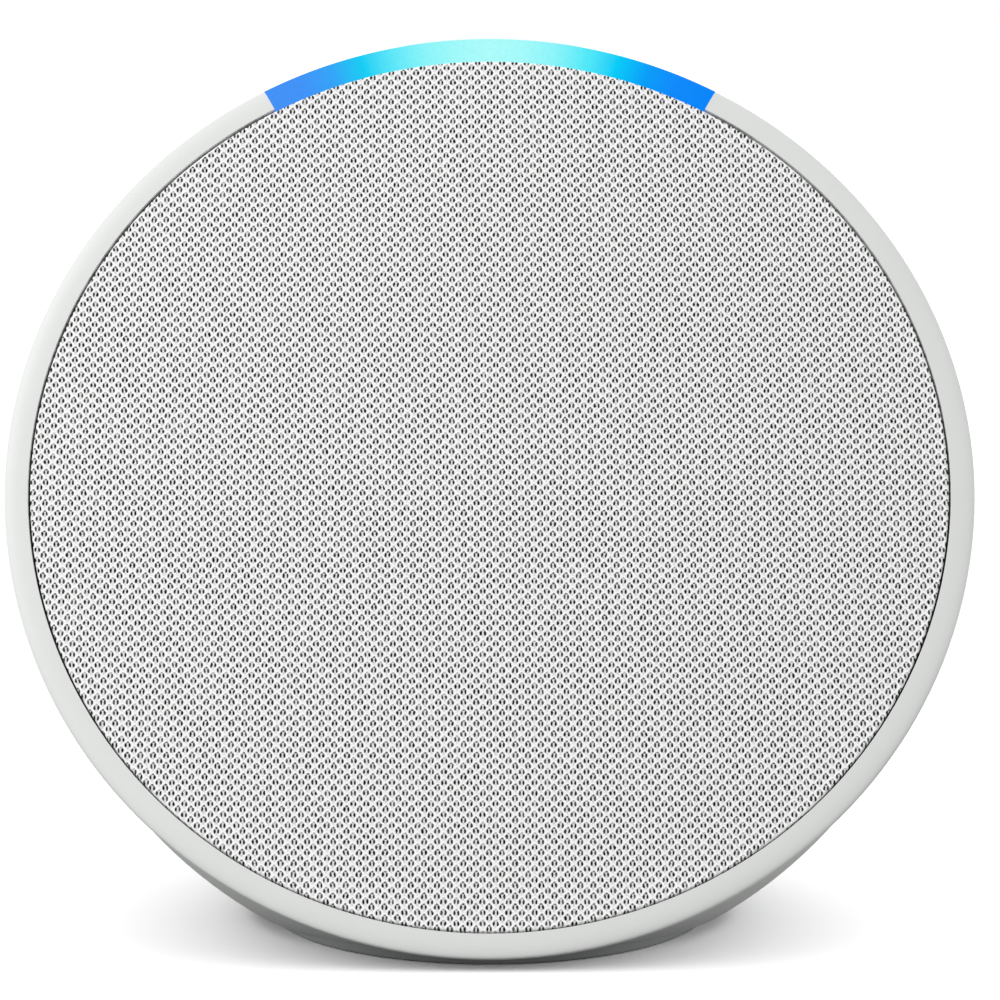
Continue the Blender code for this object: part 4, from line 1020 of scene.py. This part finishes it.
def make_driver(materials):
    """The moving cone and dome, and the roll and the corrugated ring that hold them."""
    rubber, paper, cloth = (materials[k] for k in ("black_rubber", "cone_paper", "spider_cloth"))
    inner, outer, seat, lip = 18.9 * MM, 21.7 * MM, -7.55 * MM, 1.0 * MM
    middle, reach = (inner + outer) / 2, (outer - inner) / 2
    roll = [(2 * middle - r, h) for r, h in arc((middle, seat), reach, 0.0, pi, 16)]
    surround = strip([(inner - lip, seat)] + roll + [(outer + lip, seat)], 0.4 * MM)
    add_turned("roll_surround", surround, rubber, "body", "driver_surround")

    # Low near the coil, so that the cone stays clear of it at the end of its stroke
    spider = strip([(r * MM, h * MM) for r, h in SPIDER_WAVES], 0.4 * MM)
    add_turned("corrugated_spider", spider, cloth, "body", "driver_spider")

    neck, edge, low, high, steps = 7.2 * MM, 18.3 * MM, -15.1 * MM, -8.75 * MM, 12
    under = []
    for k in range(steps + 1):
        t = k / steps
        sag = 0.35 * MM * sin(pi * t)
        under.append((neck + (edge - neck) * t, low + (high - low) * t - sag))
    over = [(radius, height + 0.55 * MM) for radius, height in reversed(under)]
    rim = [(edge + 0.6 * MM, high), (edge + 0.6 * MM, high + 0.5 * MM)]
    add_turned("speaker_cone", under + rim + over[1:], paper, "cone", "driver_cone")

    radius, rise, foot, thickness, steps = 7.8 * MM, 1.9 * MM, -13.5 * MM, 0.4 * MM, 10
    angles = [pi / 2 * k / steps for k in range(steps + 1)]
    inside = [((radius - thickness) * cos(a), foot + (rise - thickness) * sin(a)) for a in angles]
    outside = [(radius * cos(a), foot + rise * sin(a)) for a in reversed(angles)]
    outside[0], inside[-1] = (0.0, foot + rise), (0.0, foot + rise - thickness)
    add_turned("speaker_dome", outside + inside, paper, "cone", "driver_dust_cap")


# The CAD's own pieces inside


def slot_materials(dark, steel):
    black_rubber = moulded("black_rubber", (0.03, 0.03, 0.03, 1.0), 0.7, 0.02 * MM, 5000.0, 0.1, 0.3)
    return {
        "grille_plastic": moulded("grille_plastic", (0.30, 0.30, 0.30, 1.0), 0.6),
        "dark_plastic": dark,
        "black_rubber": black_rubber,
        "cone_paper": woven("cone_paper", (0.06, 0.06, 0.06, 1.0), 0.9 * MM),
        "spider_cloth": woven("spider_cloth", (0.58, 0.40, 0.17, 1.0), 0.6 * MM),
        "coil_copper": metal("coil_copper", (0.80, 0.40, 0.18, 1.0), 0.3, (1.0, 6.0, 6.0)),
        "ferrite": moulded("ferrite", (0.07, 0.07, 0.075, 1.0), 0.55, 0.03 * MM, 3000.0, 0.15),
        "plated_steel": steel,
        "aluminium": metal("aluminium", (0.75, 0.75, 0.76, 1.0), 0.4, (12.0, 1.0, 1.0)),
        "circuit_board": circuit_board("circuit_board", (0.015, 0.15, 0.06, 1.0), (0.03, 0.24, 0.10, 1.0)),
        "flex_board": circuit_board("flex_board", (0.55, 0.25, 0.04, 1.0), (0.70, 0.38, 0.08, 1.0), 0.6),
        "led_package": moulded("led_package", (0.88, 0.88, 0.80, 1.0), 0.35),
        "cable_jacket": moulded("cable_jacket", (0.04, 0.04, 0.04, 1.0), 0.5, 0.03 * MM, 2500.0, 0.1),
    }


def finish_cad_nodes(materials):
    for subpart in frame["record"]["subparts"]:
        material = materials.get(subpart["material_slot"])
        node = frame["nodes"].get(subpart["node"])
        if material and node:
            for holder in node.material_slots:
                holder.material = material


# Studio

PHOTO_TILT = radians(18.5)
CAMERA_DISTANCE = 468.5 * MM
FOCAL_RATIO = 4.596
AIM_RIGHT, AIM_DOWN = 1.07 * MM, 1.81 * MM
AMBIENT = 0.71
KEY_LIGHT_PLACE = (-0.36, -0.36, 0.48)
KEY_LIGHT_POWER = 2.5
BACK_LIGHT_PLACE = (0.35, 0.65, 0.55)
BACK_LIGHT_POWER = 3.0
LOW_LIGHT_PLACE = (0.4, 0.12, 0.03)
LOW_LIGHT_POWER = 0.5
FLOOR_BOUNCE = 0.5
FLOOR_SEEN = 1.85


def make_camera():
    elevation = TILT - PHOTO_TILT
    forward = Vector((0.0, cos(elevation), -sin(elevation)))
    up = Vector((0.0, sin(elevation), cos(elevation)))
    aim = FACE_CENTRE + Vector((AIM_RIGHT, 0.0, 0.0)) - up * AIM_DOWN
    camera = bpy.data.objects.new("camera", bpy.data.cameras.new("camera"))
    camera.location = aim - forward * CAMERA_DISTANCE
    camera.rotation_euler = forward.to_track_quat("-Z", "Y").to_euler()
    camera.data.sensor_width = 36.0
    camera.data.lens = 36.0 * FOCAL_RATIO
    camera.data.clip_start = 0.01
    bpy.context.collection.objects.link(camera)
    bpy.context.scene.camera = camera


def area_light(name, place, target, size, power):
    light = bpy.data.lights.new(name, "AREA")
    light.shape = "RECTANGLE"
    light.size, light.size_y = size
    light.energy = power
    item = bpy.data.objects.new(name, light)
    item.location = place
    item.rotation_euler = (Vector(target) - Vector(place)).to_track_quat("-Z", "Y").to_euler()
    bpy.context.collection.objects.link(item)
    return item


def make_studio():
    bpy.context.scene.view_settings.view_transform = "Standard"
    world = bpy.data.worlds.new("studio")
    world.use_nodes = True
    tree = world.node_tree
    background = tree.nodes["Background"]
    background.inputs["Color"].default_value = (1.0, 1.0, 1.0, 1.0)
    seen = tree.nodes.new("ShaderNodeLightPath").outputs["Is Camera Ray"]
    feed(tree, background.inputs["Strength"], remap(tree, seen, 0.0, 1.0, AMBIENT, 1.0))
    bpy.context.scene.world = world
    middle, low = (0.0, 0.0, HIGH.z / 2), (0.0, 0.0, HIGH.z / 4)
    lights = [
        area_light("key", KEY_LIGHT_PLACE, middle, (0.4, 0.4), KEY_LIGHT_POWER),
        area_light("back", BACK_LIGHT_PLACE, middle, (0.6, 0.4), BACK_LIGHT_POWER),
    ]
    side, behind, height = LOW_LIGHT_PLACE
    for name, x in (("low_right", side), ("low_left", -side)):
        lights.append(area_light(name, (x, behind, height), low, (0.3, 0.05), LOW_LIGHT_POWER))

    floor_mesh = bpy.data.meshes.new("floor")
    half = 6.0
    corners = [(-half, -half, 0), (half, -half, 0), (half, half, 0), (-half, half, 0)]
    floor_mesh.from_pydata(corners, [], [(0, 1, 2, 3)])
    floor = bpy.data.objects.new("floor", floor_mesh)
    bpy.context.collection.objects.link(floor)
    material = bpy.data.materials.new("pale_floor")
    material.use_nodes = True
    tree = material.node_tree
    tree.nodes.clear()
    surface = tree.nodes.new("ShaderNodeBsdfDiffuse")
    output = tree.nodes.new("ShaderNodeOutputMaterial")
    tree.links.new(surface.outputs["BSDF"], output.inputs["Surface"])
    seen = tree.nodes.new("ShaderNodeLightPath").outputs["Is Camera Ray"]
    feed(tree, surface.inputs["Color"], remap(tree, seen, 0.0, 1.0, FLOOR_BOUNCE, FLOOR_SEEN))
    floor_mesh.materials.append(material)
    # The floor is lit by the soft surroundings only, so the shadow stays close on both sides
    left_out = bpy.data.collections.new("left_out")
    left_out.objects.link(floor)
    left_out.collection_objects[0].light_linking.link_state = "EXCLUDE"
    for light in lights:
        light.light_linking.receiver_collection = left_out


# Build

make_camera()
shell_plastic = moulded("shell_plastic", linear(219, 221, 219), 0.42)
dark_plastic = moulded("dark_plastic", (0.06, 0.06, 0.065, 1.0), 0.5)
plated_steel = metal("plated_steel", (0.62, 0.62, 0.60, 1.0), 0.3)
make_shell(shell_plastic)
make_light_bar()
make_cloth()
make_keys()
make_foot()
make_base(shell_plastic)
make_jack(dark_plastic, plated_steel)
inner_materials = slot_materials(dark_plastic, plated_steel)
make_driver(inner_materials)
finish_cad_nodes(inner_materials)
make_studio()
